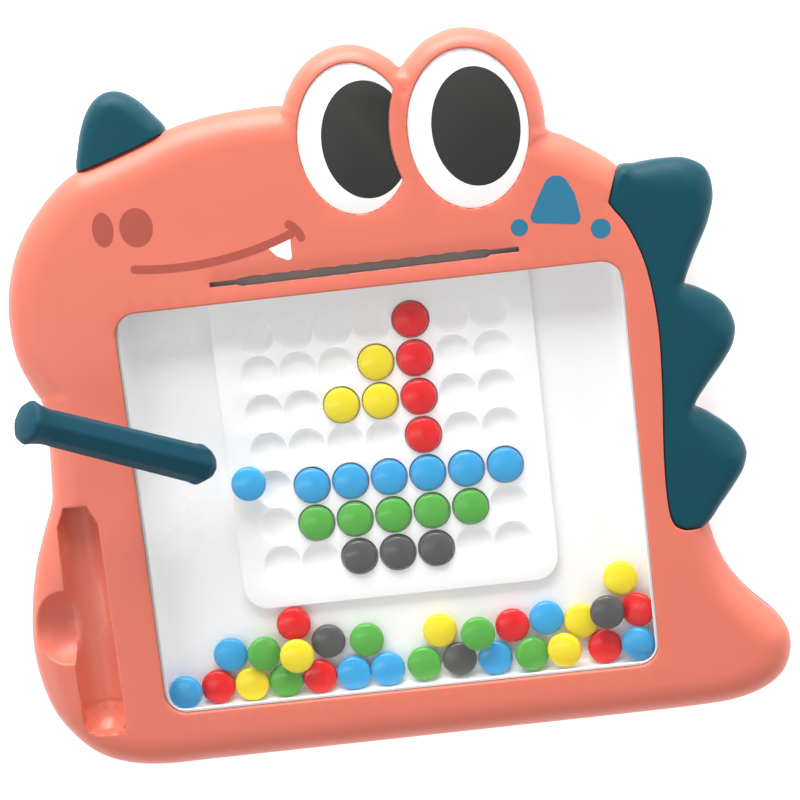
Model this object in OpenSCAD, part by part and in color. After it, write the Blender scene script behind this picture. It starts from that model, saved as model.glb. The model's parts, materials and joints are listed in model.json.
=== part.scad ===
// Magnetic bead drawing board in the shape of a dinosaur's head and body.
// A clamshell case holds a white tray under a clear window. Coloured beads with a
// steel core lie in the tray, and a magnetic pen drags them into the dimples of the
// peg plate. The board lies on its back: the table is at z = 0, the head points
// to +Y and the crest and tail to +X. All sizes are in millimetres.

/* [Case] */
// Height of the flat face above the table
face_z = 24; // [23:0.5:27]
// Height of the parting line between the two halves of the case
split_z = 9; // [8:0.5:10]
// Height at which the case is widest
waist_z = 13; // [12:0.5:14]
// Thickness of the moulded side walls
side_wall = 2.2; // [1.8:0.1:2.6]
// Thickness of the moulded face
face_wall = 2.5; // [2:0.1:3]
// Thickness of the flat back
back_wall = 2; // [1.5:0.1:2.5]

/* [Window and tray] */
// Half the width of the window opening
window_half_w = 96; // [94:0.5:97]
// Lower edge of the window opening
window_y_low = -97; // [-97.5:0.5:-95]
// Upper edge of the window opening
window_y_high = 60; // [59:0.5:61]
// Corner radius of the window opening
window_r = 8.5; // [5:0.5:12]
// Thickness of the clear pane
pane_t = 2; // [1.5:0.1:2.2]
// Height of the tray's floor above the table
tray_z = 8; // [7.6:0.2:8.4]
// Thickness of the tray's walls
tray_wall = 1.6; // [1.2:0.1:1.8]
// How far the peg plate stands above the tray's floor
plate_t = 3; // [2.8:0.1:3.4]

/* [Beads and dimples] */
// Distance from one dimple to the next
pitch = 15; // [14.6:0.1:15.4]
// Radius of a dimple at the plate's surface
dimple_r = 7.2; // [7.2:0.05:7.28]
// Depth of a dimple
dimple_d = 2.6; // [2.4:0.1:2.7]
// Radius of a bead
bead_r = 6.7; // [6.3:0.1:6.7]
// Thickness of a bead through its middle
bead_t = 5.4; // [5:0.1:5.4]

/* [Pen] */
// Length of the pen from end to end
pen_len = 86; // [80:1:87]
// How steeply the pen leans up from the window
pen_tilt = 40; // [20:1:50]
// Direction the pen's tail points, measured in the plane of the window
pen_turn = 149; // [140:1:160]

/* [Fasteners] */
// Radius of a screw's shank
screw_r = 1.25; // [1.1:0.05:1.4]
// Radius of a screw's head
screw_head_r = 2.8; // [2.4:0.1:3]

/* [Hidden] */
$fn = 48;

coral = "#F2806E";
teal = "#1F5A68";
white = "#F6F6F4";
black = "#3E403E";
red = "#E8202A";
yellow = "#F5DC34";
blue = "#3A9FDF";
green = "#55A84C";
grey = "#555655";
clear = [0.95, 0.97, 1, 0.25];

// The middle dimple's place, so that the whole toy is centred on the origin.
grid_x = -0.9;
grid_y = -16.4;
// The printed figures are inlays this deep, and every seat has this much play.
print_t = 0.3;
play = 0.15;
// Steps that each span of an outline is divided into.
span_steps = 2;
// How far cutters run past the faces they cut.
past = 1;

pane_z = face_z - face_wall - pane_t;
plate_z = tray_z + plate_t;
seat_z = split_z + play;
crown_h = face_z - waist_z;
crest_top = face_z - 0.8;
horn_top = face_z - 4;
tray_half_w = window_half_w + 1;
tray_y_low = window_y_low - 1.4;
tray_y_high = window_y_high + 1.5;
bead_seat_z = plate_z + 0.4;

// Outline of the case, anticlockwise: x, y and the width of the rounded edge there.
case_knots = [
  [-23.6, 130.6, 9], [-27, 130.9, 12], [-38, 130.8, 13], [-52, 129.7, 13], [-66, 127, 13],
  [-80, 122, 13], [-95, 117.2, 13], [-104, 114.6, 13], [-112, 109.4, 13], [-120, 101.8, 13],
  [-127, 93, 13], [-132.5, 82.5, 13], [-136, 70, 13], [-137, 58, 13], [-136, 47, 13],
  [-133, 38, 13], [-130, 32, 13], [-128.6, 28.5, 12], [-128.2, 24, 11], [-128.5, 12, 11],
  [-129.4, 0, 11], [-130.2, -8, 11], [-131.6, -12.5, 12], [-136, -23, 13], [-140.5, -35, 13],
  [-144, -50, 13], [-145.7, -65, 13], [-144.8, -79, 13], [-141.3, -92.5, 13], [-135, -103, 13],
  [-126.5, -111.6, 13], [-115, -116.8, 13], [-101, -119, 13], [-80, -119, 13], [-30, -118.7, 13],
  [30, -118.3, 13], [80, -118, 13], [112, -117.5, 13], [126, -116.2, 13], [136.5, -112.8, 13],
  [144, -107, 13], [147.4, -98.5, 13], [146.8, -90, 13], [142, -83, 13], [134, -74.8, 13],
  [127.5, -65.8, 13], [123.3, -56.5, 12], [120.8, -47, 11], [119, -35, 10], [117, -10, 8],
  [115.5, 20, 8], [114, 45, 8], [110.5, 68, 8], [104.5, 84, 8], [98, 94.6, 10],
  [90, 101.2, 12], [81, 107, 12], [75, 109.8, 9], [73.4, 112.2, 8], [73.4, 118, 8],
  [71.6, 129, 8], [66.5, 140, 8], [58, 148, 8], [45, 151.8, 8], [33, 149, 8],
  [25.5, 143.3, 8], [21.5, 139.8, 7], [17.5, 143.6, 8], [10, 148.4, 8], [1.5, 150.3, 8],
  [-8, 148.3, 8], [-16, 142.6, 8], [-21.4, 135, 8]];

// Outline of the crest: three fins and the edge that follows the case.
crest_knots = [
  [98.5, 93.6, 2], [93.8, 83, 1], [94.2, 80, 1], [100, 71, 1], [105, 56, 1], [107.3, 36, 1],
  [107, 15, 1], [105, -15, 1], [104.7, -33, 1], [106, -42, 1.5], [110, -45.4, 2],
  [116, -45.5, 2.5], [120, -44, 4], [125.5, -37.8, 6], [131, -31.2, 6.5], [135.5, -24.5, 6.5],
  [136.9, -18, 6.5], [133.6, -10.8, 6.5], [125, -3.4, 6], [119.6, 0, 4], [119.4, 3, 4],
  [125, 9.6, 6], [131, 16.6, 6.5], [135.5, 23.6, 6.5], [136.7, 31, 6.5], [132.8, 39.6, 6.5],
  [125, 45, 6], [119.8, 47.4, 4], [119.7, 50.2, 4], [124.3, 59.2, 6], [130, 70, 6.5],
  [132.9, 80, 6.5], [131.2, 89.6, 6.5], [124, 94.4, 6.5], [115, 95.2, 6], [105.5, 94.6, 4]];

// Outline of the horn, with the root that is hidden in the case.
horn_knots = [
  [-71, 118, 3], [-68.6, 126.6, 5], [-72.4, 132.6, 6.5], [-77.4, 138.4, 7], [-82.5, 142, 7],
  [-87.5, 143.1, 7], [-92.4, 141.6, 7], [-96.8, 137.2, 7], [-100, 130.8, 6.5],
  [-102.2, 123.4, 6], [-103.6, 115, 5], [-100, 107.5, 3]];

// Middles and half axes of the whites, the pupils and the right eye's rim.
left_white = [2, 115.5, 21, 28];
right_white = [44.5, 114.5, 22.5, 29.5];
left_pupil_at = [6.5, 114.7, 16.6, 21.8];
right_pupil_at = [47.5, 115, 16.5, 22];
right_rim = [44.5, 115, 29, 36.5];

// The pen's recess: left, right, lower and upper edge, and the length of its chamfers.
recess = [-128.5, -112.5, -102, -11.5];
recess_chamfer = [3.5, 7.5];
recess_z = 12;
recess_mid = (recess[0] + recess[1]) / 2;
scoop = [recess[0] - 1.5, -58];
pen_r = 6.6;

// Places of the back's screws.
screw_at = [[-92, 99], [-38, 112], [21.5, 126], [84, 88], [124, -98], [10, -108],
            [-104, -109], [-112, 24]];
screw_len = 11;

// Loose beads in the tray: x, y, height above the tray's floor, tilt about X, tilt about Y.
loose_red = [[-76.45, -91.3, 2.9, 0, 0], [-36.1, -91.4, 2.9, 0, 0], [-43.9, -69.25, 2.9, 0, 0],
             [41, -79, 2.9, 0, 0], [76.2, -91.2, 2.9, 0, 0], [89.9, -76.9, 6.4, 0, -24]];
loose_yellow = [[-62.95, -91.4, 3.6, 0, -5], [-43.6, -80.7, 8.5, 0, 0], [12.7, -78, 2.9, 0, 0],
                [60.2, -89.9, 6.9, 0, -12], [68, -80.2, 2.9, 0, 0], [84.6, -64.4, 3.9, -7, 0]];
loose_blue = [[-88.8, -91, 7.2, 5, -9], [-70, -78.9, 2.9, 0, 0], [-22.7, -91.4, 2.9, 0, 0],
              [-9.2, -91.2, 2.9, 0, 0], [33.1, -91.2, 2.9, 0, 0], [54.6, -77.4, 2.9, 0, 0],
              [88.9, -90.2, 7.5, 6, -20]];
loose_green = [[-56.6, -79.2, 5.6, 0, 24], [-49.5, -91.5, 2.9, 0, 0], [-16.2, -78.6, 2.9, 0, 0],
               [5.2, -90.6, 2.9, 0, 0], [27.4, -79.4, 8.5, 0, 0], [47.6, -90.8, 4.4, 0, 14]];
loose_grey = [[-31.2, -77.6, 2.9, 0, 0], [19.2, -90.2, 2.9, 0, 0], [78, -76.2, 8.5, 0, 0]];

// ---- Curves and lofts ----

// A point on the smooth curve through four knots, at t between the second and third.
function through(a, b, c, d, t) =
  0.5 * (2 * b + (c - a) * t + (2 * a - 5 * b + 4 * c - d) * t * t
         + (3 * b - a - 3 * c + d) * t * t * t);

// A closed smooth curve through all the knots.
function smooth(k) = let (n = len(k))
  [for (i = [0:n - 1], s = [0:span_steps - 1])
    through(k[(i + n - 1) % n], k[i], k[(i + 1) % n], k[(i + 2) % n], s / span_steps)];

// The unit vector that points into an anticlockwise outline at point i.
function inward(p, i) = let (n = len(p), a = p[(i + n - 1) % n], b = p[(i + 1) % n],
  dx = b[0] - a[0], dy = b[1] - a[1], l = sqrt(dx * dx + dy * dy)) [-dy / l, dx / l];

// The outline moved inwards: by step everywhere, and by share of each edge width.
function inset(p, step, share) =
  [for (i = [0:len(p) - 1]) let (v = inward(p, i), w = step + share * p[i][2])
    [p[i][0] + v[0] * w, p[i][1] + v[1] * w]];

// A closed solid through bulging rings, each a list of points with its height.
module loft(rings) {
  n = len(rings[0][0]);
  last = len(rings) - 1;
  points = [for (r = rings, q = r[0]) [q[0], q[1], r[1]]];
  sides = [for (k = [0:last - 1], i = [0:n - 1]) let (j = (i + 1) % n, a = k * n, b = a + n)
    each [[a + i, b + i, b + j], [a + i, b + j, a + j]]];
  polyhedron(points, concat([[for (i = [0:n - 1]) i]], sides,
                            [[for (i = [n - 1:-1:0]) last * n + i]]));
}

// A closed ring-shaped solid: the last of its rings joins the first.
module band(rings) {
  n = len(rings[0][0]);
  m = len(rings);
  polyhedron([for (r = rings, q = r[0]) [q[0], q[1], r[1]]],
             [for (k = [0:m - 1], i = [0:n - 1])
               let (j = (i + 1) % n, a = k * n, b = ((k + 1) % m) * n)
                 each [[a + i, b + i, b + j], [a + i, b + j, a + j]]]);
}

case_line = smooth(case_knots);
crest_line = smooth(crest_knots);
horn_line = smooth(horn_knots);

// The front half's skin: down the inside, round the rim, up the outside, and its face.
module front_skin() {
  band(concat(
    [for (a = [90:-30:0])
      [inset(case_line, side_wall, 1 - cos(a)), waist_z + (crown_h - face_wall) * sin(a)]],
    [[inset(case_line, side_wall + 0.3, 0), split_z], [inset(case_line, 0.3, 0), split_z]],
    [for (a = [0:18:90]) [inset(case_line, 0, 1 - cos(a)), waist_z + crown_h * sin(a)]],
    [[inset(case_line, side_wall, 1), face_z]]));
  raised(face_z - face_wall, face_z) polygon(inset(case_line, side_wall, 1));
}

// Blocks inside the front half that stay under its rounded edge, in three steps.
module under_crown(low, high) for (share = [0.28, 0.55, 1]) {
  top = waist_z + crown_h * sin(acos(1 - share)) - 0.3;
  raised(low, min(top, high)) intersection() {
    polygon(inset(case_line, 0.2, share));
    children();
  }
}

// Rings up the outside of a slab whose upper edge is rounded by each knot's width.
function slab_rings(line, low, high, drop) =
  concat([[inset(line, 1.2, 0), low], [inset(line, 0, 0), low + 2]],
         [for (a = [0:22.5:90])
           [inset(line, 0, 1 - cos(a)), high - drop + drop * sin(a)]]);

// ---- Plain shapes ----

module at_grid() translate([grid_x, grid_y, 0]) children();

module rounded_rect(x0, x1, y0, y1, r) {
  translate([x0 + r, y0]) square([x1 - x0 - 2 * r, y1 - y0]);
  translate([x0, y0 + r]) square([x1 - x0, y1 - y0 - 2 * r]);
  for (x = [x0 + r, x1 - r], y = [y0 + r, y1 - r])
    translate([x, y]) circle(r);
}

module ellipse(e, grow = 0)
  translate([e[0], e[1]])
    polygon([for (a = [0:6:354]) [(e[2] + grow) * cos(a), (e[3] + grow) * sin(a)]]);

module raised(low, high) translate([0, 0, low]) linear_extrude(high - low) children();

// ---- Case ----

module left_eye_shape(grow = 0) difference() {
  ellipse(left_white, grow);
  ellipse(right_rim, -grow);
}

module recess_shape(grow = 0) {
  c = recess_chamfer;
  polygon([[recess[0] - grow, recess[2] + 4 - grow], [recess[0] + 4 - grow, recess[2] - grow],
           [recess[1] - 4 + grow, recess[2] - grow], [recess[1] + grow, recess[2] + 4 - grow],
           [recess[1] + grow, recess[3] - c[1] + grow], [recess[1] - c[0], recess[3] + grow],
           [recess[0] + c[0], recess[3] + grow], [recess[0] - grow, recess[3] - c[1] + grow]]);
}

// The trough that the pen lies in: a round floor, straight sides and a pocket for its tail.
module recess_cut() {
  mid_z = recess_z + 8;
  intersection() {
    raised(recess_z - 1, face_z + past) recess_shape();
    union() {
      translate([recess_mid, recess[2] - 1, mid_z]) rotate([-90, 0, 0]) cylinder(92, r = 8.02);
      raised(mid_z, face_z + past) recess_shape();
      translate([recess_mid, recess[2] + 7.9, mid_z - 0.5]) rotate([0, 90, 0]) sphere(8.25);
    }
  }
  translate([scoop[0], scoop[1], face_z + 5.5]) rotate([0, 90, 0]) sphere(15.5);
}

// Two arms of the slot are low and its middle is taller.
module slot_shape(grow = 0) {
  polygon([[-58 - grow, 66.6 - grow], [-48, 66.6 - grow], [-46, 65.8 - grow], [46, 66.2 - grow],
           [48, 67.1 - grow], [58.5 + grow, 67.1 - grow], [58.5 + grow, 68.9 + grow],
           [48, 68.9 + grow], [46, 69.6 + grow], [-46, 69.2 + grow], [-48, 68.4 + grow],
           [-58 - grow, 68.4 + grow]]);
}

module prints(depth) {
  raised(face_z - depth, face_z + past) {
    mouth_shape();
    nostril_shapes();
    tooth_shape();
    spot_shapes();
  }
}

module front_shell() color(coral) at_grid() difference() {
  union() {
    front_skin();
    under_crown(recess_z - 2.5, face_z) recess_shape(2);
    under_crown(recess_z - 1.5, face_z) translate(scoop) circle(17);
    under_crown(split_z, face_z) polygon(inset(crest_line, -2, 0));
    under_crown(split_z, horn_top + 2) polygon(inset(horn_line, -2, 0));
    raised(split_z + 1, face_z - 1) slot_shape(1.8);
    raised(face_z - 3.6, face_z - 1) ellipse(right_white, 1.5);
    raised(face_z - 3.6, face_z - 1) left_eye_shape(1.2);
    for (p = screw_at)
      translate([p[0], p[1], back_wall]) cylinder(face_z - back_wall - 2, r = 3.4);
  }
  raised(pane_z - past, face_z + past)
    rounded_rect(-window_half_w, window_half_w, window_y_low, window_y_high, window_r);
  raised(split_z + 3, face_z + past) slot_shape();
  recess_cut();
  raised(split_z - past, face_z + past) polygon(inset(crest_line, -play, 0));
  raised(split_z - past, horn_top + play) polygon(inset(horn_line, -play, 0));
  raised(face_z - 1.8, face_z + past) left_eye_shape();
  raised(face_z - 1.8, face_z + past) ellipse(right_white);
  prints(print_t);
  for (p = screw_at)
    translate([p[0], p[1], 0]) cylinder(screw_len + 4, r = screw_r + 0.05);
}

// A shallow dish, with ribs that carry the tray.
module back_cover() color(coral) at_grid() difference() {
  union() {
    band([[inset(case_line, 6, 0), 0], [inset(case_line, 4.5, 0), 0],
          [inset(case_line, 2.8, 0), 0.9], [inset(case_line, 1.4, 0), 3.2],
          [inset(case_line, 0.3, 0), split_z], [inset(case_line, side_wall + 0.3, 0), split_z],
          [inset(case_line, 3.8, 0), 3.6], [inset(case_line, 6, 0), back_wall]]);
    raised(0, back_wall) polygon(inset(case_line, 6, 0));
    for (x = [-70, 0, 70])
      translate([x - 1, -80, back_wall - 0.5]) cube([2, 120, tray_z - 1.8 - back_wall + 0.5]);
  }
  for (p = screw_at) {
    translate([p[0], p[1], -past]) cylinder(4, r = screw_r + 0.4);
    translate([p[0], p[1], -past]) cylinder(past + 1.2, r = screw_head_r + 0.3);
  }
}

module window() color(clear) at_grid()
  raised(pane_z, pane_z + pane_t)
    rounded_rect(-window_half_w - 3, window_half_w + 3, window_y_low - 3.2,
                 window_y_high + 3.2, window_r + 2);

module bead_tray() color(white) at_grid() difference() {
  raised(tray_z - 1.8, pane_z)
    rounded_rect(-tray_half_w - tray_wall, tray_half_w + tray_wall, tray_y_low - tray_wall,
                 tray_y_high + tray_wall, window_r + 1);
  raised(tray_z, pane_z + past)
    rounded_rect(-tray_half_w, tray_half_w, tray_y_low, tray_y_high, window_r - 0.5);
}

// A dimple's section: a gently dished floor that turns up into a steep wall.
module dimple() translate([0, 0, plate_z]) rotate_extrude()
  polygon(concat([for (a = [0:10:90]) [dimple_r * sqrt(sin(a)), -dimple_d * cos(a)]],
                 [[dimple_r, past], [0, past]]));

module peg_plate() color(white) at_grid() difference() {
  raised(tray_z, plate_z) {
    rounded_rect(-61.7, 61.7, -62.4, 40, 9.5);
    translate([-61.7, 0]) square([123.4, tray_y_high]);
  }
  for (row = [1:7], column = [1:7])
    translate([(column - 4) * pitch, (4 - row) * pitch, 0]) dimple();
}

// ---- Crest, horn and face ----

module crest() color(teal) at_grid() {
  core = inset(crest_line, 0.5, 1);
  band(concat([[core, crest_top], [core, seat_z]],
              slab_rings(crest_line, seat_z, crest_top, 7)));
  raised(seat_z, crest_top) polygon(core);
}

module horn() color(teal) at_grid() loft(slab_rings(horn_line, seat_z, horn_top, 6));

module left_eye_white() color(white) at_grid() difference() {
  raised(face_z - 1.8, face_z - 0.8) left_eye_shape(-0.05);
  raised(face_z - 1.2, face_z) left_pupil_shape();
}

module right_eye_white() color(white) at_grid() difference() {
  raised(face_z - 1.8, face_z - 0.8) ellipse(right_white, -0.05);
  raised(face_z - 1.2, face_z) ellipse(right_pupil_at);
}

module left_pupil_shape() difference() {
  ellipse(left_pupil_at);
  ellipse(right_rim, 0.05);
}

module left_pupil() color(black) at_grid() raised(face_z - 1.2, face_z - 0.8) left_pupil_shape();

module right_pupil() color(black) at_grid()
  raised(face_z - 1.2, face_z - 0.8) ellipse(right_pupil_at);

// A smile 3.2 wide along an arc, with a cheek line across its end.
module mouth_shape() {
  r = 124.2;
  middle = [-68.7, 75.4 + r];
  difference() {
    intersection() {
      translate(middle) circle(r + 1.6, $fn = 240);
      polygon([[-85, 60], [-24.2, 60], [-23.2, 90], [-85.5, 90]]);
    }
    translate(middle) circle(r - 1.6, $fn = 240);
  }
  translate([-85.1, 76.5]) circle(1.6);
  hull() {
    translate([-25.7, 86.8]) circle(1.6);
    translate([-23.2, 84.7]) circle(1.6);
  }
  hull() {
    translate([-23.2, 84.7]) circle(1.6);
    translate([-21.7, 81.5]) circle(1.5);
  }
}

module mouth_print() color("#BC5A4D") at_grid() raised(face_z - print_t, face_z) mouth_shape();

module nostril_shapes() {
  ellipse([-95, 92.5, 4, 6.5]);
  ellipse([-82.5, 92, 6.3, 7.3]);
}

module nostril_prints() color("#BC5A4D") at_grid()
  raised(face_z - print_t, face_z) nostril_shapes();

module tooth_shape() difference() {
  hull() {
    translate([-34.2, 79]) circle(0.3);
    translate([-26.3, 82.3]) circle(0.5);
    translate([-27.35, 75.05]) circle(1.4);
    translate([-30.6, 76.6]) circle(1.4);
  }
  mouth_shape();
}

module tooth_print() color(white) at_grid() raised(face_z - print_t, face_z) tooth_shape();

module spot_shapes() {
  hull() {
    translate([74.6, 88.6]) circle(5.4);
    translate([66.4, 79.2]) circle(2.4);
    translate([79.9, 77.6]) circle(2.6);
    translate([78, 88]) circle(4);
    translate([69.4, 87]) circle(3);
  }
  translate([59.5, 76]) circle(3.2);
  translate([89.5, 72.3]) circle(3.7);
}

module cheek_spots() color("#2F7FA3") at_grid()
  raised(face_z - print_t, face_z) spot_shapes();

// ---- Pen ----

// The pen's own axis runs from its nose at 0 to its tail at pen_len.
module at_pen() at_grid() translate([-65.8, -1.6, face_z - face_wall + 2.9])
  rotate([0, 0, pen_turn]) rotate([0, 90 - pen_tilt, 0]) children();

barrel_from = 10;
barrel_to = pen_len - 12;

module pen_barrel() color(teal) at_pen() difference() {
  rotate(22.5) translate([0, 0, barrel_from])
    cylinder(barrel_to - barrel_from, r1 = pen_r + 0.2, r2 = pen_r - 0.6, $fn = 8);
  translate([0, 0, barrel_from - past]) cylinder(barrel_to, r = 4.2);
}

// Eight-sided nose with a rounded end that holds the magnet.
module pen_nose() color(teal) at_pen() difference() {
  union() {
    rotate(22.5) translate([0, 0, 6]) cylinder(4, r = pen_r + 0.7, $fn = 8);
    rotate(22.5) translate([0, 0, 1.8]) cylinder(4.2, r1 = 4.6, r2 = pen_r + 0.7, $fn = 8);
    rotate(22.5) cylinder(1.8, r1 = 2.8, r2 = 4.6, $fn = 8);
    translate([0, 0, 9]) cylinder(6, r = 4.1);
  }
  translate([0, 0, 2.5]) cylinder(20, r = 3.2);
}

module pen_magnet() color("#9A9CA0") at_pen() translate([0, 0, 2.6]) cylinder(10, r = 3);

// The tail flares out from the barrel into a round end.
module pen_tail_cap() color(teal) at_pen() {
  tail_r = 7.4;
  translate([0, 0, pen_len]) rotate_extrude()
    polygon(concat([[0, -12], [5.7, -12], [5.9, -9.5], [6.6, -7.2]],
                   [for (a = [0:15:90]) [tail_r * cos(a), -5 + 5 * sin(a)]]));
  translate([0, 0, barrel_to - 5]) cylinder(5.5, r = 4.1);
}

// ---- Screws ----

module back_screws() color("#8C8E92") at_grid() for (p = screw_at)
  translate([p[0], p[1], 0.2]) difference() {
    union() {
      cylinder(1, r = screw_head_r);
      cylinder(screw_len, r = screw_r);
    }
    for (a = [0, 90])
      rotate(a) translate([-1.4, -0.25, -past]) cube([2.8, 0.5, past + 0.6]);
  }

// ---- Beads ----

// Half of a bead's section: a low dome, then a round rim.
function bead_edge() = let (rim = 1.6, mid = bead_r - rim, dome = 18, side = 0.45)
  concat([for (x = [0:1.275:mid]) [x, bead_t / 2 - dome + sqrt(dome * dome - x * x)]],
         [for (a = [60:-20:0]) [mid + rim * cos(a), side + rim * sin(a)]]);

module bead(x, y, z, tilt_x = 0, tilt_y = 0) at_grid() translate([x, y, z])
  rotate([tilt_x, tilt_y, 0]) {
    upper = bead_edge();
    n = len(upper);
    difference() {
      rotate_extrude() polygon(concat(upper, [for (i = [n - 1:-1:0]) [upper[i][0], -upper[i][1]]]));
      translate([0, 0, -0.95]) cylinder(1.9, r = 4.1);
    }
    translate([0, 0, -0.9]) cylinder(1.8, r = 4);
  }

module seated(row, column)
  bead((column - 4) * pitch, (4 - row) * pitch, bead_seat_z);

module loose(places) for (p = places)
  bead(p[0], p[1], tray_z + p[2], p[3], p[4]);

module red_bead_r1c5() color(red) seated(1, 5);
module red_bead_r2c5() color(red) seated(2, 5);
module red_bead_r3c5() color(red) seated(3, 5);
module red_bead_r4c5() color(red) seated(4, 5);
module yellow_bead_r2c4() color(yellow) seated(2, 4);
module yellow_bead_r3c3() color(yellow) seated(3, 3);
module yellow_bead_r3c4() color(yellow) seated(3, 4);
module blue_bead_r5c2() color(blue) seated(5, 2);
module blue_bead_r5c3() color(blue) seated(5, 3);
module blue_bead_r5c4() color(blue) seated(5, 4);
module blue_bead_r5c5() color(blue) seated(5, 5);
module blue_bead_r5c6() color(blue) seated(5, 6);
module blue_bead_r5c7() color(blue) seated(5, 7);
module green_bead_r6c2() color(green) seated(6, 2);
module green_bead_r6c3() color(green) seated(6, 3);
module green_bead_r6c4() color(green) seated(6, 4);
module green_bead_r6c5() color(green) seated(6, 5);
module green_bead_r6c6() color(green) seated(6, 6);
module grey_bead_r7c3() color(grey) seated(7, 3);
module grey_bead_r7c4() color(grey) seated(7, 4);
module grey_bead_r7c5() color(grey) seated(7, 5);
module dragged_bead() color(blue) bead(-53.8, -10.8, pane_z - 0.3 - bead_t / 2);
module loose_red_beads() color(red) loose(loose_red);
module loose_yellow_beads() color(yellow) loose(loose_yellow);
module loose_blue_beads() color(blue) loose(loose_blue);
module loose_green_beads() color(green) loose(loose_green);
module loose_grey_beads() color(grey) loose(loose_grey);

front_shell();
back_cover();
window();
bead_tray();
peg_plate();
crest();
horn();
left_eye_white();
right_eye_white();
left_pupil();
right_pupil();
mouth_print();
nostril_prints();
tooth_print();
cheek_spots();
pen_barrel();
pen_tail_cap();
pen_nose();
pen_magnet();
back_screws();
red_bead_r1c5();
red_bead_r2c5();
red_bead_r3c5();
red_bead_r4c5();
yellow_bead_r2c4();
yellow_bead_r3c3();
yellow_bead_r3c4();
blue_bead_r5c2();
blue_bead_r5c3();
blue_bead_r5c4();
blue_bead_r5c5();
blue_bead_r5c6();
blue_bead_r5c7();
green_bead_r6c2();
green_bead_r6c3();
green_bead_r6c4();
green_bead_r6c5();
green_bead_r6c6();
grey_bead_r7c3();
grey_bead_r7c4();
grey_bead_r7c5();
dragged_bead();
loose_red_beads();
loose_yellow_beads();
loose_blue_beads();
loose_green_beads();
loose_grey_beads();
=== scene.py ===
import json
import logging
import math
from collections.abc import Callable, Sequence
from dataclasses import dataclass, field
from enum import Enum

import bpy
import numpy as np
from mathutils import Matrix, Vector, geometry


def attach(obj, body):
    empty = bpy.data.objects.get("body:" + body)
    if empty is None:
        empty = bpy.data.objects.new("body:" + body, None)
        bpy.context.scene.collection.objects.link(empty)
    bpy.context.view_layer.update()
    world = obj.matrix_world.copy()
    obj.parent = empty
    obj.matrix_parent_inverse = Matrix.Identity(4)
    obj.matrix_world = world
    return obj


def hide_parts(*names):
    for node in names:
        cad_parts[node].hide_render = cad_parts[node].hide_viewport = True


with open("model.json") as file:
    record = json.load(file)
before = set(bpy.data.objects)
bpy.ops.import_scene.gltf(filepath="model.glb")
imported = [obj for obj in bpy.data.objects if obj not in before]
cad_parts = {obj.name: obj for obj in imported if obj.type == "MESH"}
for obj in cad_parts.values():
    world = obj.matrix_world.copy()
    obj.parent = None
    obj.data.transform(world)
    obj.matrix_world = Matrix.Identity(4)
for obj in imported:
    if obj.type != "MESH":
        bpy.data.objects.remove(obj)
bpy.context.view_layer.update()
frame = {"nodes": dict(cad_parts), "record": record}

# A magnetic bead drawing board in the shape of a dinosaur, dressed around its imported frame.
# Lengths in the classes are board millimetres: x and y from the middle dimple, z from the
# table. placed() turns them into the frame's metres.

log = logging.getLogger("drawing_board")

MM = 0.001
GRID_AT = np.array([-0.9, -16.4, 0.0])
SPLIT_Z = 9.0
WAIST_Z = 13.0
FACE_Z = 24.0
FACE_WALL = 2.5
TRAY_Z = 8.0
PLATE_Z = 11.0
PANE_Z = 19.5
EYE_FLOOR_Z = 22.2
FAR = 1.0e3

CASE_KNOTS = [
    (-23.6, 130.6, 9), (-27, 130.9, 12), (-38, 130.8, 13), (-52, 129.7, 13), (-66, 127, 13),
    (-80, 122, 13), (-95, 117.2, 13), (-104, 114.6, 13), (-112, 109.4, 13), (-120, 101.8, 13),
    (-127, 93, 13), (-132.5, 82.5, 13), (-136, 70, 13), (-137, 58, 13), (-136, 47, 13),
    (-133, 38, 13), (-130, 32, 13), (-128.6, 28.5, 12), (-128.2, 24, 11), (-128.5, 12, 11),
    (-129.4, 0, 11), (-130.2, -8, 11), (-131.6, -12.5, 12), (-136, -23, 13), (-140.5, -35, 13),
    (-144, -50, 13), (-145.7, -65, 13), (-144.8, -79, 13), (-141.3, -92.5, 13),
    (-135, -103, 13), (-126.5, -111.6, 13), (-115, -116.8, 13), (-101, -119, 13),
    (-80, -119, 13), (-30, -118.7, 13), (30, -118.3, 13), (80, -118, 13), (112, -117.5, 13),
    (126, -116.2, 13), (136.5, -112.8, 13), (144, -107, 13), (147.4, -98.5, 13),
    (146.8, -90, 13), (142, -83, 13), (134, -74.8, 13), (127.5, -65.8, 13), (123.3, -56.5, 12),
    (120.8, -47, 11), (119, -35, 10), (117, -10, 8), (115.5, 20, 8), (114, 45, 8),
    (110.5, 68, 8), (104.5, 84, 8), (98, 94.6, 10), (90, 101.2, 12), (81, 107, 12),
    (75, 109.8, 9), (73.4, 112.2, 8), (73.4, 118, 8), (71.6, 129, 8), (66.5, 140, 8),
    (58, 148, 8), (45, 151.8, 8), (33, 149, 8), (25.5, 143.3, 8), (21.5, 139.8, 7),
    (17.5, 143.6, 8), (10, 148.4, 8), (1.5, 150.3, 8), (-8, 148.3, 8), (-16, 142.6, 8),
    (-21.4, 135, 8)]
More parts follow.
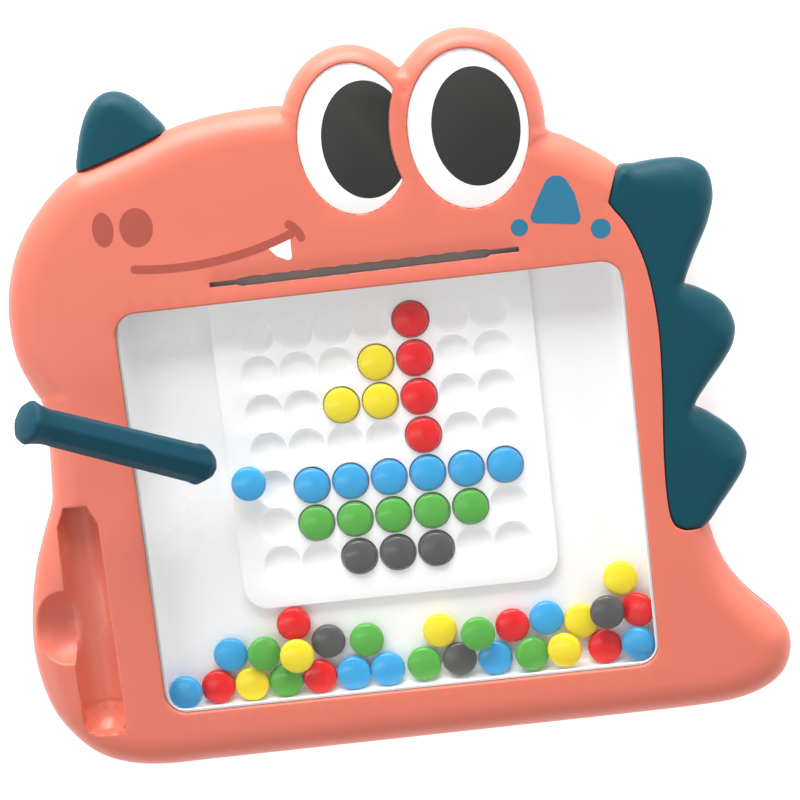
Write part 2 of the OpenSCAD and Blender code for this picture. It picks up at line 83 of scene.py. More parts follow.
# The head's own line runs on under the eyes and inside the neck, the body's inside the head.
HEAD_KNOTS = CASE_KNOTS[2:16] + [
    (-129.6, 31, 13), (-126, 26.5, 13), (-119, 22.5, 13), (-100, 18, 13), (0, 14, 13),
    (95, 16, 13), (110, 24, 8), (114, 45, 8)] + CASE_KNOTS[52:56] + [
    (81, 106, 12), (62, 115.5, 13), (40, 122.5, 13), (10, 128, 13), (-12, 130.2, 13)]
BODY_KNOTS = [(-128.4, 27, 11)] + CASE_KNOTS[18:51] + [
    (112, 45, 8), (95, 62, 13), (0, 70, 13), (-95, 64, 13), (-113, 54, 13), (-122.5, 42, 11),
    (-127, 33, 11)]
CREST_KNOTS = [
    (98.5, 93.6, 3.5), (93.8, 83, 1), (94.2, 80, 1), (100, 71, 1), (105, 56, 1),
    (107.3, 36, 1), (107, 15, 1), (105, -15, 1), (104.7, -33, 1), (106, -42, 1.5),
    (110, -45.4, 2), (116, -45.5, 2.5), (120, -44, 4), (125.5, -37.8, 6), (131, -31.2, 6.5),
    (135.5, -24.5, 6.5), (136.9, -18, 9), (133.6, -10.8, 12), (125, -3.4, 11),
    (119.6, 0, 7), (119.4, 3, 4), (125, 9.6, 6), (131, 16.6, 6.5), (135.5, 23.6, 6.5),
    (136.7, 31, 9), (132.8, 39.6, 12), (125, 45, 11), (119.8, 47.4, 7), (119.7, 50.2, 4),
    (124.3, 59.2, 6), (130, 70, 6.5), (132.9, 80, 8.5), (131.2, 89.6, 10.5), (124, 94.4, 12),
    (115, 95.2, 11.5), (105.5, 94.6, 8)]
HORN_KNOTS = [
    (-71, 118, 3), (-68.6, 126.6, 5), (-72.4, 132.6, 6.5), (-77.4, 138.4, 7),
    (-82.5, 142, 7), (-87.5, 143.1, 7), (-92.4, 141.6, 7), (-96.8, 137.2, 7),
    (-100, 130.8, 6.5), (-102.2, 123.4, 6), (-103.6, 115, 5), (-100, 107.5, 3)]
SCREW_AT = [(-92, 99), (-38, 112), (21.5, 126), (84, 88), (124, -98), (10, -108),
            (-104, -109), (-112, 24)]

# Loose beads: x, y, height of the middle above the tray's floor, tilt about X, about Y.
LOOSE = {
    "loose_red_beads": [
        (-76.45, -91.3, 2.9, 0, 0), (-36.1, -91.4, 2.9, 0, 0), (-43.9, -69.25, 2.9, 0, 0),
        (41, -79, 2.9, 0, 0), (76.2, -91.2, 2.9, 0, 0), (89.9, -76.9, 6.4, 0, -24)],
    "loose_yellow_beads": [
        (-62.95, -91.4, 3.6, 0, -5), (-43.6, -80.7, 8.5, 0, 0), (12.7, -78, 2.9, 0, 0),
        (60.2, -89.9, 6.9, 0, -12), (68, -80.2, 2.9, 0, 0), (84.6, -64.4, 3.9, -7, 0)],
    "loose_blue_beads": [
        (-88.8, -91, 7.2, 5, -9), (-70, -78.9, 2.9, 0, 0), (-22.7, -91.4, 2.9, 0, 0),
        (-9.2, -91.2, 2.9, 0, 0), (33.1, -91.2, 2.9, 0, 0), (54.6, -77.4, 2.9, 0, 0),
        (88.9, -90.2, 7.5, 6, -20)],
    "loose_green_beads": [
        (-56.6, -79.2, 5.6, 0, 24), (-49.5, -91.5, 2.9, 0, 0), (-16.2, -78.6, 2.9, 0, 0),
        (5.2, -90.6, 2.9, 0, 0), (27.4, -79.4, 8.5, 0, 0), (47.6, -90.8, 4.4, 0, 14)],
    "loose_grey_beads": [
        (-31.2, -77.6, 2.9, 0, 0), (19.2, -90.2, 2.9, 0, 0), (78, -76.2, 8.5, 0, 0)],
}


# ---- Finishes ----


def linear(hex_colour: str) -> tuple[float, float, float, float]:
    """Turns an sRGB hex colour into linear light.

    Args:
        hex_colour: Six hex digits after a hash sign.

    Returns:
        Red, green, blue and an alpha of 1.
    """
    parts = [int(hex_colour[i:i + 2], 16) / 255 for i in (1, 3, 5)]
    lit = [c / 12.92 if c <= 0.04045 else ((c + 0.055) / 1.055) ** 2.4 for c in parts]
    return (*lit, 1.0)


def add_node(tree: bpy.types.NodeTree, kind: str, links: dict | None = None,
             **settings: object) -> bpy.types.Node:
    """Adds one node with its settings, its sockets' values and its links.

    Args:
        tree: The node tree.
        kind: The node's Blender type.
        links: Socket name or number to a value, or to an output socket to link from.
        settings: The node's own properties.

    Returns:
        The new node.
    """
    node = tree.nodes.new(kind)
    for name, value in settings.items():
        setattr(node, name, value)
    for socket, value in (links or {}).items():
        if isinstance(value, bpy.types.NodeSocket):
            tree.links.new(value, node.inputs[socket])
        else:
            node.inputs[socket].default_value = value
    return node


@dataclass(frozen=True)
class Plastic:
    """A moulded plastic: its colour, gloss, and the grain that the mould's steel leaves.

    grain_mm is the size of the mould grain, waves_mm of the slow shrinkage waves, and
    mottle how far the colour drifts between pigment-rich and pigment-poor places.
    """

    name: str
    colour: str
    shade: str
    roughness: float = 0.38
    grain_mm: float = 0.55
    grain_depth_mm: float = 0.006
    waves_mm: float = 22.0
    waves_depth_mm: float = 0.02
    mottle_mm: float = 30.0
    ior: float = 1.5
    sheen: float = 0.0
    bloom: str = "#FFFFFF"

    def material(self) -> bpy.types.Material:
        """Builds the material, or returns it if it is already there.

        Two fine noises drive bumps for the mould's grain and the slow waves of sink, and
        a third one mixes the two colours and moves the roughness a little.

        Returns:
            The material.
        """
        found = bpy.data.materials.get(self.name)
        if found:
            return found
        made = bpy.data.materials.new(self.name)
        made.use_nodes = True
        tree = made.node_tree
        tree.nodes.clear()
        where = add_node(tree, "ShaderNodeTexCoord").outputs["Object"]
        mottle = add_node(tree, "ShaderNodeTexNoise", {
            "Vector": where, "Scale": 1000 / self.mottle_mm, "Detail": 3.0})
        blend = add_node(tree, "ShaderNodeMix", {
            0: mottle.outputs["Fac"], 6: linear(self.colour), 7: linear(self.shade)},
            data_type="RGBA")
        grain = add_node(tree, "ShaderNodeTexNoise", {
            "Vector": where, "Scale": 1000 / self.grain_mm, "Detail": 2.0})
        waves = add_node(tree, "ShaderNodeTexNoise", {
            "Vector": where, "Scale": 1000 / self.waves_mm, "Detail": 1.0})
        gloss = add_node(tree, "ShaderNodeMapRange", {
            "Value": mottle.outputs["Fac"], "From Min": 0.3, "From Max": 0.7,
            "To Min": self.roughness - 0.04, "To Max": self.roughness + 0.04})
        slow = add_node(tree, "ShaderNodeBump", {
            "Height": waves.outputs["Fac"], "Distance": self.waves_depth_mm * MM,
            "Strength": 1.0})
        fine = add_node(tree, "ShaderNodeBump", {
            "Height": grain.outputs["Fac"], "Distance": self.grain_depth_mm * MM,
            "Strength": 1.0, "Normal": slow.outputs["Normal"]})
        surface = add_node(tree, "ShaderNodeBsdfPrincipled", {
            "Base Color": blend.outputs[2], "Roughness": gloss.outputs["Result"],
            "IOR": self.ior, "Sheen Weight": self.sheen, "Sheen Roughness": 0.45,
            "Sheen Tint": linear(self.bloom), "Normal": fine.outputs["Normal"]})
        add_node(tree, "ShaderNodeOutputMaterial", {"Surface": surface.outputs["BSDF"]})
        made.diffuse_color = linear(self.colour)
        return made


@dataclass(frozen=True)
class ClearPane:
    """Clear styrene sheet: nearly nothing to see but its faint gloss and hairline scuffs."""

    name: str = "clear_styrene_sheet"
    alpha: float = 0.012
    edge_alpha: float = 0.3

    def material(self) -> bpy.types.Material:
        """Builds the pane's material with fine scuffs about 0.4 mm apart in its gloss.

        Returns:
            The material.
        """
        made = bpy.data.materials.new(self.name)
        made.use_nodes = True
        tree = made.node_tree
        tree.nodes.clear()
        where = add_node(tree, "ShaderNodeTexCoord").outputs["Object"]
        turned = add_node(tree, "ShaderNodeMapping", {
            "Vector": where, "Scale": (2500, 60, 60), "Rotation": (0, 0, 0.6)})
        scuffs = add_node(tree, "ShaderNodeTexNoise", {
            "Vector": turned.outputs["Vector"], "Scale": 1.0, "Detail": 2.0})
        gloss = add_node(tree, "ShaderNodeMapRange", {
            "Value": scuffs.outputs["Fac"], "To Min": 0.05, "To Max": 0.16})
        slant = add_node(tree, "ShaderNodeLayerWeight", {"Blend": 0.5})
        seen = add_node(tree, "ShaderNodeMapRange", {
            "Value": slant.outputs["Facing"], "From Min": 0.6, "From Max": 1.0,
            "To Min": self.alpha, "To Max": self.edge_alpha})
        surface = add_node(tree, "ShaderNodeBsdfPrincipled", {
            "Base Color": linear("#C8CED2"), "Roughness": gloss.outputs["Result"],
            "IOR": 1.5, "Alpha": seen.outputs["Result"]})
        add_node(tree, "ShaderNodeOutputMaterial", {"Surface": surface.outputs["BSDF"]})
        made.diffuse_color = (0.95, 0.97, 1.0, 0.2)
        return made


@dataclass(frozen=True)
class Metal:
    """A bare or plated metal with fine turning marks about 0.3 mm apart."""

    name: str
    colour: str
    roughness: float

    def material(self) -> bpy.types.Material:
        """Builds the metal's material.

        Returns:
            The material.
        """
        made = bpy.data.materials.new(self.name)
        made.use_nodes = True
        tree = made.node_tree
        tree.nodes.clear()
        where = add_node(tree, "ShaderNodeTexCoord").outputs["Object"]
        marks = add_node(tree, "ShaderNodeTexNoise", {
            "Vector": where, "Scale": 1000 / 0.3, "Detail": 2.0})
        gloss = add_node(tree, "ShaderNodeMapRange", {
            "Value": marks.outputs["Fac"], "To Min": self.roughness - 0.08,
            "To Max": self.roughness + 0.12})
        bump = add_node(tree, "ShaderNodeBump", {
            "Height": marks.outputs["Fac"], "Distance": 0.01 * MM, "Strength": 1.0})
        surface = add_node(tree, "ShaderNodeBsdfPrincipled", {
            "Base Color": linear(self.colour), "Metallic": 1.0,
            "Roughness": gloss.outputs["Result"], "Normal": bump.outputs["Normal"]})
        add_node(tree, "ShaderNodeOutputMaterial", {"Surface": surface.outputs["BSDF"]})
        made.diffuse_color = linear(self.colour)
        return made


# ABS out of a fine spark-eroded mould: satin, with a grain just too fine to see apart.
CORAL_ABS = Plastic("coral_moulded_abs", "#DD7662", "#D96F5C")
TEAL_ABS = Plastic("teal_moulded_abs", "#0A4856", "#08414F", roughness=0.45, ior=1.3,
                   sheen=0.3, bloom="#4FA8BC")
# The pen is moulded in the same teal and wiped dry, so it keeps a deeper colour.
PEN_ABS = Plastic("teal_dry_pen_abs", "#084657", "#064051", roughness=0.5, ior=1.28)
# Painted shade: the slot's inside gets little light, so its faces get a grey-brown colour in
# place of the coral, with a rougher gloss.
SLOT_SHADE_ABS = Plastic("slot_painted_shade_abs", "#A89994", "#958682", roughness=0.6,
                   mottle_mm=40.0)
# Painted light and shade: the recess gets its own copy of the coral, now a little lighter than
# the face, set for the light that falls into it, and a glossier finish.
RECESS_PAINTED_LIGHT_ABS = Plastic("recess_painted_light_abs", "#E5846E", "#DF7D67", roughness=0.28)
# White high-impact styrene, glossier than the case and slightly cool.
WHITE_STYRENE = Plastic("white_moulded_styrene", "#FEFEFE", "#FBFBFB", roughness=0.3)
EYE_WHITE = Plastic("white_gloss_styrene_disc", "#FBFBFA", "#F7F7F7", roughness=0.28)
PUPIL_BLACK = Plastic("black_satin_styrene_disc", "#2D2F2D", "#2A2C2A", roughness=0.5,
                     ior=1.4)
# Pad-printed inks lie flat on the face and are a little drier than the plastic.
BROWN_INK = Plastic("brown_pad_print_ink", "#AC4F40", "#A84A3D", roughness=0.6,
                    mottle_mm=6.0)
WHITE_INK = Plastic("white_pad_print_ink", "#FCFCFA", "#F6F6F4", roughness=0.5,
                    mottle_mm=6.0)
BLUE_INK = Plastic("blue_pad_print_ink", "#1E7295", "#1B6D90", roughness=0.6,
                   mottle_mm=6.0)
SCREW_STEEL = Metal("zinc_plated_screw_steel", "#8C8E92", 0.35)
MAGNET_NICKEL = Metal("nickel_plated_magnet", "#9A9CA0", 0.22)


class BeadColour(Enum):
    """The five bead colours: gloss polystyrene with a steel core that can't be seen."""

    RED = Plastic("red_gloss_polystyrene", "#E6181C", "#E01418", roughness=0.24)
    YELLOW = Plastic("yellow_gloss_polystyrene", "#F2DE24", "#EED91E", roughness=0.24)
    BLUE = Plastic("blue_gloss_polystyrene", "#38A6E0", "#34A1DB", roughness=0.24)
    GREEN = Plastic("green_gloss_polystyrene", "#58AE44", "#53A93F", roughness=0.24)
    GREY = Plastic("grey_gloss_polystyrene", "#555655", "#505150", roughness=0.24)


# ---- Lines, distances and meshes ----


def placed(points: np.ndarray) -> np.ndarray:
    """Turns board millimetres into the frame's metres."""
    return (np.asarray(points, float) + GRID_AT) * MM


def new_piece(name: str, points: np.ndarray, faces: Sequence[np.ndarray],
              finishes: Sequence, body: str, replaced: Sequence[str] = (),
              finish_of: np.ndarray | None = None, sharp_deg: float = 38.0,
              ) -> bpy.types.Object:
    """Makes a closed mesh into a piece that rides on a body and stands for CAD nodes.

    Args:
        name: The piece's name.
        points: Vertices in board millimetres.
        faces: Arrays of faces, each array with one number of corners.
        finishes: The finishes in the order of finish_of.
        body: The CAD body that the piece rides on.
        replaced: CAD nodes that the piece stands for.
        finish_of: The finish's number for each face, or None for one finish.
        sharp_deg: Edges that turn more than this stay crisp.

    Returns:
        The new object.
    """
    mesh = bpy.data.meshes.new(name)
    listed = [face for block in faces for face in np.asarray(block).tolist()]
    mesh.from_pydata(placed(points).tolist(), [], listed)
    for finish in finishes:
        mesh.materials.append(finish.material())
    if finish_of is not None:
        mesh.polygons.foreach_set("material_index", finish_of.astype(np.int32))
    mesh.polygons.foreach_set("use_smooth", np.ones(len(listed), bool))
    mesh.set_sharp_from_angle(angle=math.radians(sharp_deg))
    mesh.update()
    piece = bpy.data.objects.new(name, mesh)
    bpy.context.scene.collection.objects.link(piece)
    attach(piece, body)
    if replaced:
        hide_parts(*replaced)
    log.info("%s: %d vertices, %d faces on %s", name, len(points), len(listed), body)
    return piece


class Line:
    """A closed anticlockwise line with the width of the rounded edge beside each point."""

    def __init__(self, points: np.ndarray) -> None:
        """Takes rows of x, y and edge width."""
        self.points = np.asarray(points, float)

    @classmethod
    def smooth(cls, knots: Sequence[Sequence[float]], steps: int = 6) -> "Line":
        """Runs a closed cubic through the knots.

        Between two knots b and c, with a before and d after, the point at t is half of
        2b + (c - a)t + (2a - 5b + 4c - d)t^2 + (3b - a - 3c + d)t^3.

        Args:
            knots: x, y and edge width of each knot.
            steps: Points for each span.

        Returns:
            The line.
        """
        knot = np.array(knots, float)
        t = (np.arange(steps) / steps)[None, :, None]
        a, b, c, d = (np.roll(knot, k, axis=0)[:, None, :] for k in (1, 0, -1, -2))
        curve = 0.5 * (2 * b + (c - a) * t + (2 * a - 5 * b + 4 * c - d) * t ** 2
                       + (3 * b - a - 3 * c + d) * t ** 3)
        return cls(curve.reshape(-1, knot.shape[1]))

    @classmethod
    def ellipse(cls, x: float, y: float, rx: float, ry: float, width: float = 1.0,
                count: int = 120) -> "Line":
        """An ellipse round (x, y) with half axes rx and ry."""
        a = np.linspace(0, 2 * np.pi, count, endpoint=False)
        return cls(np.column_stack([x + rx * np.cos(a), y + ry * np.sin(a),
                                    np.full(count, width)]))

    @classmethod
    def polygon(cls, corners: Sequence[Sequence[float]], spacing: float = 1.5) -> "Line":
        """Straight edges between corners, divided into steps of about the spacing.

        Args:
            corners: x and y of each corner.
            spacing: Length of a step.

        Returns:
            The line.
        """
        pts = np.array(corners, float)[:, :2]
        rows = []
        for a, b in zip(pts, np.roll(pts, -1, axis=0)):
            n = max(1, round(float(np.linalg.norm(b - a)) / spacing))
            rows.append(a + (b - a) * (np.arange(n) / n)[:, None])
        joined = np.vstack(rows)
        return cls(np.column_stack([joined, np.ones(len(joined))]))

    @classmethod
    def rounded(cls, x0: float, x1: float, y0: float, y1: float, r: float,
                spacing: float = 2.0, corners: Sequence[float] | None = None) -> "Line":
        """A rectangle whose corners are arcs.

        Args:
            x0: Left edge.
            x1: Right edge.
            y0: Lower edge.
            y1: Upper edge.
            r: Radius of the corners.
            spacing: Steps along the straight edges.
            corners: Radii of the lower left, lower right, upper right and upper left
                corner, where they differ.

        Returns:
            The line.
        """
        radii = corners or (r, r, r, r)
        turn = np.linspace(0, np.pi / 2, 13)
        rows = []
        for k, (cx, cy, q) in enumerate(((x0, y0, radii[0]), (x1, y0, radii[1]),
                                         (x1, y1, radii[2]), (x0, y1, radii[3]))):
            sx, sy = (1 if cx == x0 else -1), (1 if cy == y0 else -1)
            a = turn + np.pi + k * np.pi / 2
            rows.append(np.column_stack([cx + sx * q + q * np.cos(a),
                                         cy + sy * q + q * np.sin(a)]))
        return cls.polygon(np.vstack(rows), spacing)

    def normals(self) -> np.ndarray:
        """Unit vectors that point into the line, square to the chord of the neighbours."""
        chord = np.roll(self.points, -1, axis=0) - np.roll(self.points, 1, axis=0)
        across = np.column_stack([-chord[:, 1], chord[:, 0]])
        return across / np.maximum(np.linalg.norm(across, axis=1), 1e-9)[:, None]

    def moved(self, step: float = 0.0, share: float = 0.0) -> np.ndarray:
        """The line's points moved inwards by step, and by a share of each edge width."""
        move = step + share * self.points[:, 2]
        return self.points[:, :2] + self.normals() * move[:, None]

    def depth(self, at: np.ndarray) -> tuple[np.ndarray, np.ndarray]:
        """Distance to the line, positive inside, and the edge width at the nearest place.

        The nearest place on each segment is the point's shadow on it, held to its ends,
        and a point is inside where a ray to the right crosses the line an odd number of
        times.

        Args:
            at: Points, one row of x and y each.

        Returns:
            The signed distances and the widths.
        """
        a = self.points
        b = np.roll(a, -1, axis=0)
        run = b[:, :2] - a[:, :2]
        length2 = np.maximum((run ** 2).sum(1), 1e-12)
        rise = np.where(run[:, 1] == 0, 1e-12, run[:, 1])
        far, width = np.empty(len(at)), np.empty(len(at))
        for k in range(0, len(at), 2500):
            p = at[k:k + 2500, None, :]
            gap = p - a[None, :, :2]
            t = np.clip((gap * run).sum(2) / length2, 0, 1)
            d2 = ((gap - t[..., None] * run) ** 2).sum(2)
            near = d2.argmin(1)
            row = np.arange(len(near))
            u = t[row, near]
            width[k:k + 2500] = a[near, 2] * (1 - u) + b[near, 2] * u
            y = p[:, :, 1]
            spans = (a[None, :, 1] > y) != (b[None, :, 1] > y)
            cross = a[None, :, 0] + (y - a[None, :, 1]) / rise * run[:, 0]
            inside = (spans & (p[:, :, 0] < cross)).sum(1) % 2 == 1
            far[k:k + 2500] = np.sqrt(d2[row, near]) * np.where(inside, 1, -1)
        return far, width

    def inside(self, at: np.ndarray) -> np.ndarray:
        """True where a point is inside the line."""
        return self.depth(at)[0] > 0


def quarter_round(depth: np.ndarray, width: np.ndarray | float) -> np.ndarray:
    """Height share of a rounded edge: sqrt(1 - (1 - d/w)^2), 0 at the edge, 1 from w on."""
    return np.sqrt(np.maximum(0.0, 1 - (1 - np.clip(depth / width, 0, 1)) ** 2))


def lip(distance: np.ndarray, radius: float) -> np.ndarray:
    """How far a small round lip falls below its face: r - sqrt(r^2 - (r - d)^2)."""
    return radius * (1 - quarter_round(distance, radius))


def grid(x0: float, x1: float, y0: float, y1: float, step: float) -> np.ndarray:
    """Points on a square grid, every other row moved by half a step.

    Args:
        x0: The first column.
        x1: The last column.
        y0: The first row.
        y1: The last row.
        step: Distance between columns and between rows.

    Returns:
        x and y of the points.
    """
    rows = np.arange(y0, y1 + 1e-6, step)
    cols = np.arange(x0, x1 + 1e-6, step)
    x, y = np.meshgrid(cols, rows)
    x = x + np.where(np.arange(len(rows)) % 2 == 1, step / 2, 0.0)[:, None]
    return np.column_stack([x.ravel(), y.ravel()])


@dataclass
class Relief:
    """A closed plate whose upper and lower faces are heights over x and y.

    The faces are a triangle net that follows every line and free point. Where the net
    ends, a wall joins both faces; its rows step in by the draft given.
    """

    lines: list[np.ndarray]
    seeds: np.ndarray
    keep: Callable[[np.ndarray], np.ndarray]
    upper: Callable[[np.ndarray], np.ndarray]
    lower: Callable[[np.ndarray], np.ndarray]
    draft: tuple[tuple[float, float], ...] = ((0.0, 0.0),)
    cleared: float = 0.6

    def net(self) -> tuple[np.ndarray, np.ndarray]:
        """Triangulates the lines and seeds and keeps the triangles whose middles count.

        Returns:
            The points and the anticlockwise triangles.
        """
        seeds = self.clear_of_lines()
        points = np.vstack([*self.lines, seeds])
        starts = np.cumsum([0] + [len(line) for line in self.lines])
        edges = np.vstack([
            np.column_stack([np.arange(s, e), np.roll(np.arange(s, e), -1)])
            for s, e in zip(starts[:-1], starts[1:])])
        out = geometry.delaunay_2d_cdt([Vector(p) for p in points.tolist()],
                                       edges.tolist(), [], 0, 1e-4, False)
        xy = np.array([tuple(v) for v in out[0]])
        tri = np.array(out[2])
        a, b, c = xy[tri[:, 0]], xy[tri[:, 1]], xy[tri[:, 2]]
        area = (b[:, 0] - a[:, 0]) * (c[:, 1] - a[:, 1]) - (
            b[:, 1] - a[:, 1]) * (c[:, 0] - a[:, 0])
        tri = np.where((area < 0)[:, None], tri[:, ::-1], tri)
        tri = tri[(np.abs(area) > 1e-7) & self.keep((a + b + c) / 3)]
        used, renamed = np.unique(tri, return_inverse=True)
        return xy[used], renamed.reshape(-1, 3)

    def clear_of_lines(self) -> np.ndarray:
        """Drops the seeds that lie closer to a line than the cleared distance.

        The lines are drawn into a raster whose cell is that distance, every marked cell
        is widened by one, and a seed in a marked cell is dropped.

        Returns:
            The seeds that are left.
        """
        if not len(self.seeds):
            return np.zeros((0, 2))
        cell = self.cleared
        low = np.vstack([*self.lines, self.seeds]).min(0) - 2 * cell
        size = ((np.vstack([*self.lines, self.seeds]).max(0) - low) / cell).astype(int) + 3
        taken = np.zeros(size, bool)
        for line in self.lines:
            t = (np.arange(8) / 8)[None, :, None]
            dense = (line[:, None] + t * (np.roll(line, -1, axis=0) - line)[:, None])
            spot = ((dense.reshape(-1, 2) - low) / cell).astype(int)
            taken[spot[:, 0], spot[:, 1]] = True
        wide = taken.copy()
        for dx in (-1, 0, 1):
            for dy in (-1, 0, 1):
                wide |= np.roll(taken, (dx, dy), axis=(0, 1))
        spot = ((self.seeds - low) / cell).astype(int)
        return self.seeds[~wide[spot[:, 0], spot[:, 1]]]

    def built(self) -> tuple[np.ndarray, list[np.ndarray]]:
        """Works out the closed plate.

        Returns:
            The vertices, and the faces as the upper net, the lower net and the walls.
        """
        xy, tri = self.net()
        n = len(xy)
        top, base = self.upper(xy), self.lower(xy)
        directed = np.vstack([tri[:, [0, 1]], tri[:, [1, 2]], tri[:, [2, 0]]])
        code, back = directed @ [n, 1], directed @ [1, n]
        rim = directed[~np.isin(code, back)]
        run = xy[rim[:, 1]] - xy[rim[:, 0]]
        across = np.column_stack([-run[:, 1], run[:, 0]])
        normal = np.zeros((n, 2))
        np.add.at(normal, rim[:, 0], across)
        np.add.at(normal, rim[:, 1], across)
        members = np.unique(rim)
        unit = normal[members] / np.maximum(
            np.linalg.norm(normal[members], axis=1), 1e-9)[:, None]
        order = np.zeros(n, int)
        order[members] = np.arange(len(members))
        rows, blocks = [np.arange(n)], [np.column_stack([xy, top])]
        total = n
        for step, share in self.draft[:-1]:
            level = base[members] + (top[members] - base[members]) * share
            blocks.append(np.column_stack([xy[members] + unit * step, level]))
            rows.append(total + order)
            total += len(members)
        low_xy = xy.copy()
        low_xy[members] += unit * self.draft[-1][0]
        blocks.append(np.column_stack([low_xy, base]))
        rows.append(total + np.arange(n))
        walls = [np.column_stack([a[rim[:, 0]], b[rim[:, 0]], b[rim[:, 1]], a[rim[:, 1]]])
                 for a, b in zip(rows[:-1], rows[1:])]
        return np.vstack(blocks), [tri, tri[:, ::-1] + total, np.vstack(walls)]


def lathe_grid(radii: np.ndarray, heights: np.ndarray, count: int,
               form: Callable[[np.ndarray], np.ndarray] | None = None,
               ) -> tuple[np.ndarray, list[np.ndarray]]:
    """Carries a profile round the Z axis and closes both ends with a point.

    The vertex for profile row u and turn v is radius(u) * form(v) along the angle v, at
    height(u). The profile runs from the lower end on the axis to the upper end on it.

    Args:
        radii: Radius of each row, without the two ends on the axis.
        heights: Height of the lower end, of each row, and of the upper end.
        count: Vertices round the axis.
        form: Factor on the radius over the angle, or None for a circle.

    Returns:
        The vertices and the faces.
    """
    angle = np.linspace(0, 2 * np.pi, count, endpoint=False)
    factor = np.ones(count) if form is None else form(angle)
    ring = radii[:, None] * factor[None, :]
    rows = np.stack([ring * np.cos(angle), ring * np.sin(angle),
                     np.repeat(heights[1:-1, None], count, axis=1)], axis=2)
    n = len(radii)
    points = np.vstack([rows.reshape(-1, 3), [[0, 0, heights[0]], [0, 0, heights[-1]]]])
    k = np.arange(n * count).reshape(n, count)
    nxt = np.roll(k, -1, axis=1)
    sides = np.stack([k[:-1], nxt[:-1], nxt[1:], k[1:]], axis=2).reshape(-1, 4)
    low = np.column_stack([nxt[0], k[0], np.full(count, n * count)])
    high = np.column_stack([k[-1], nxt[-1], np.full(count, n * count + 1)])
    return points, [sides, low, high]


# ---- The case ----


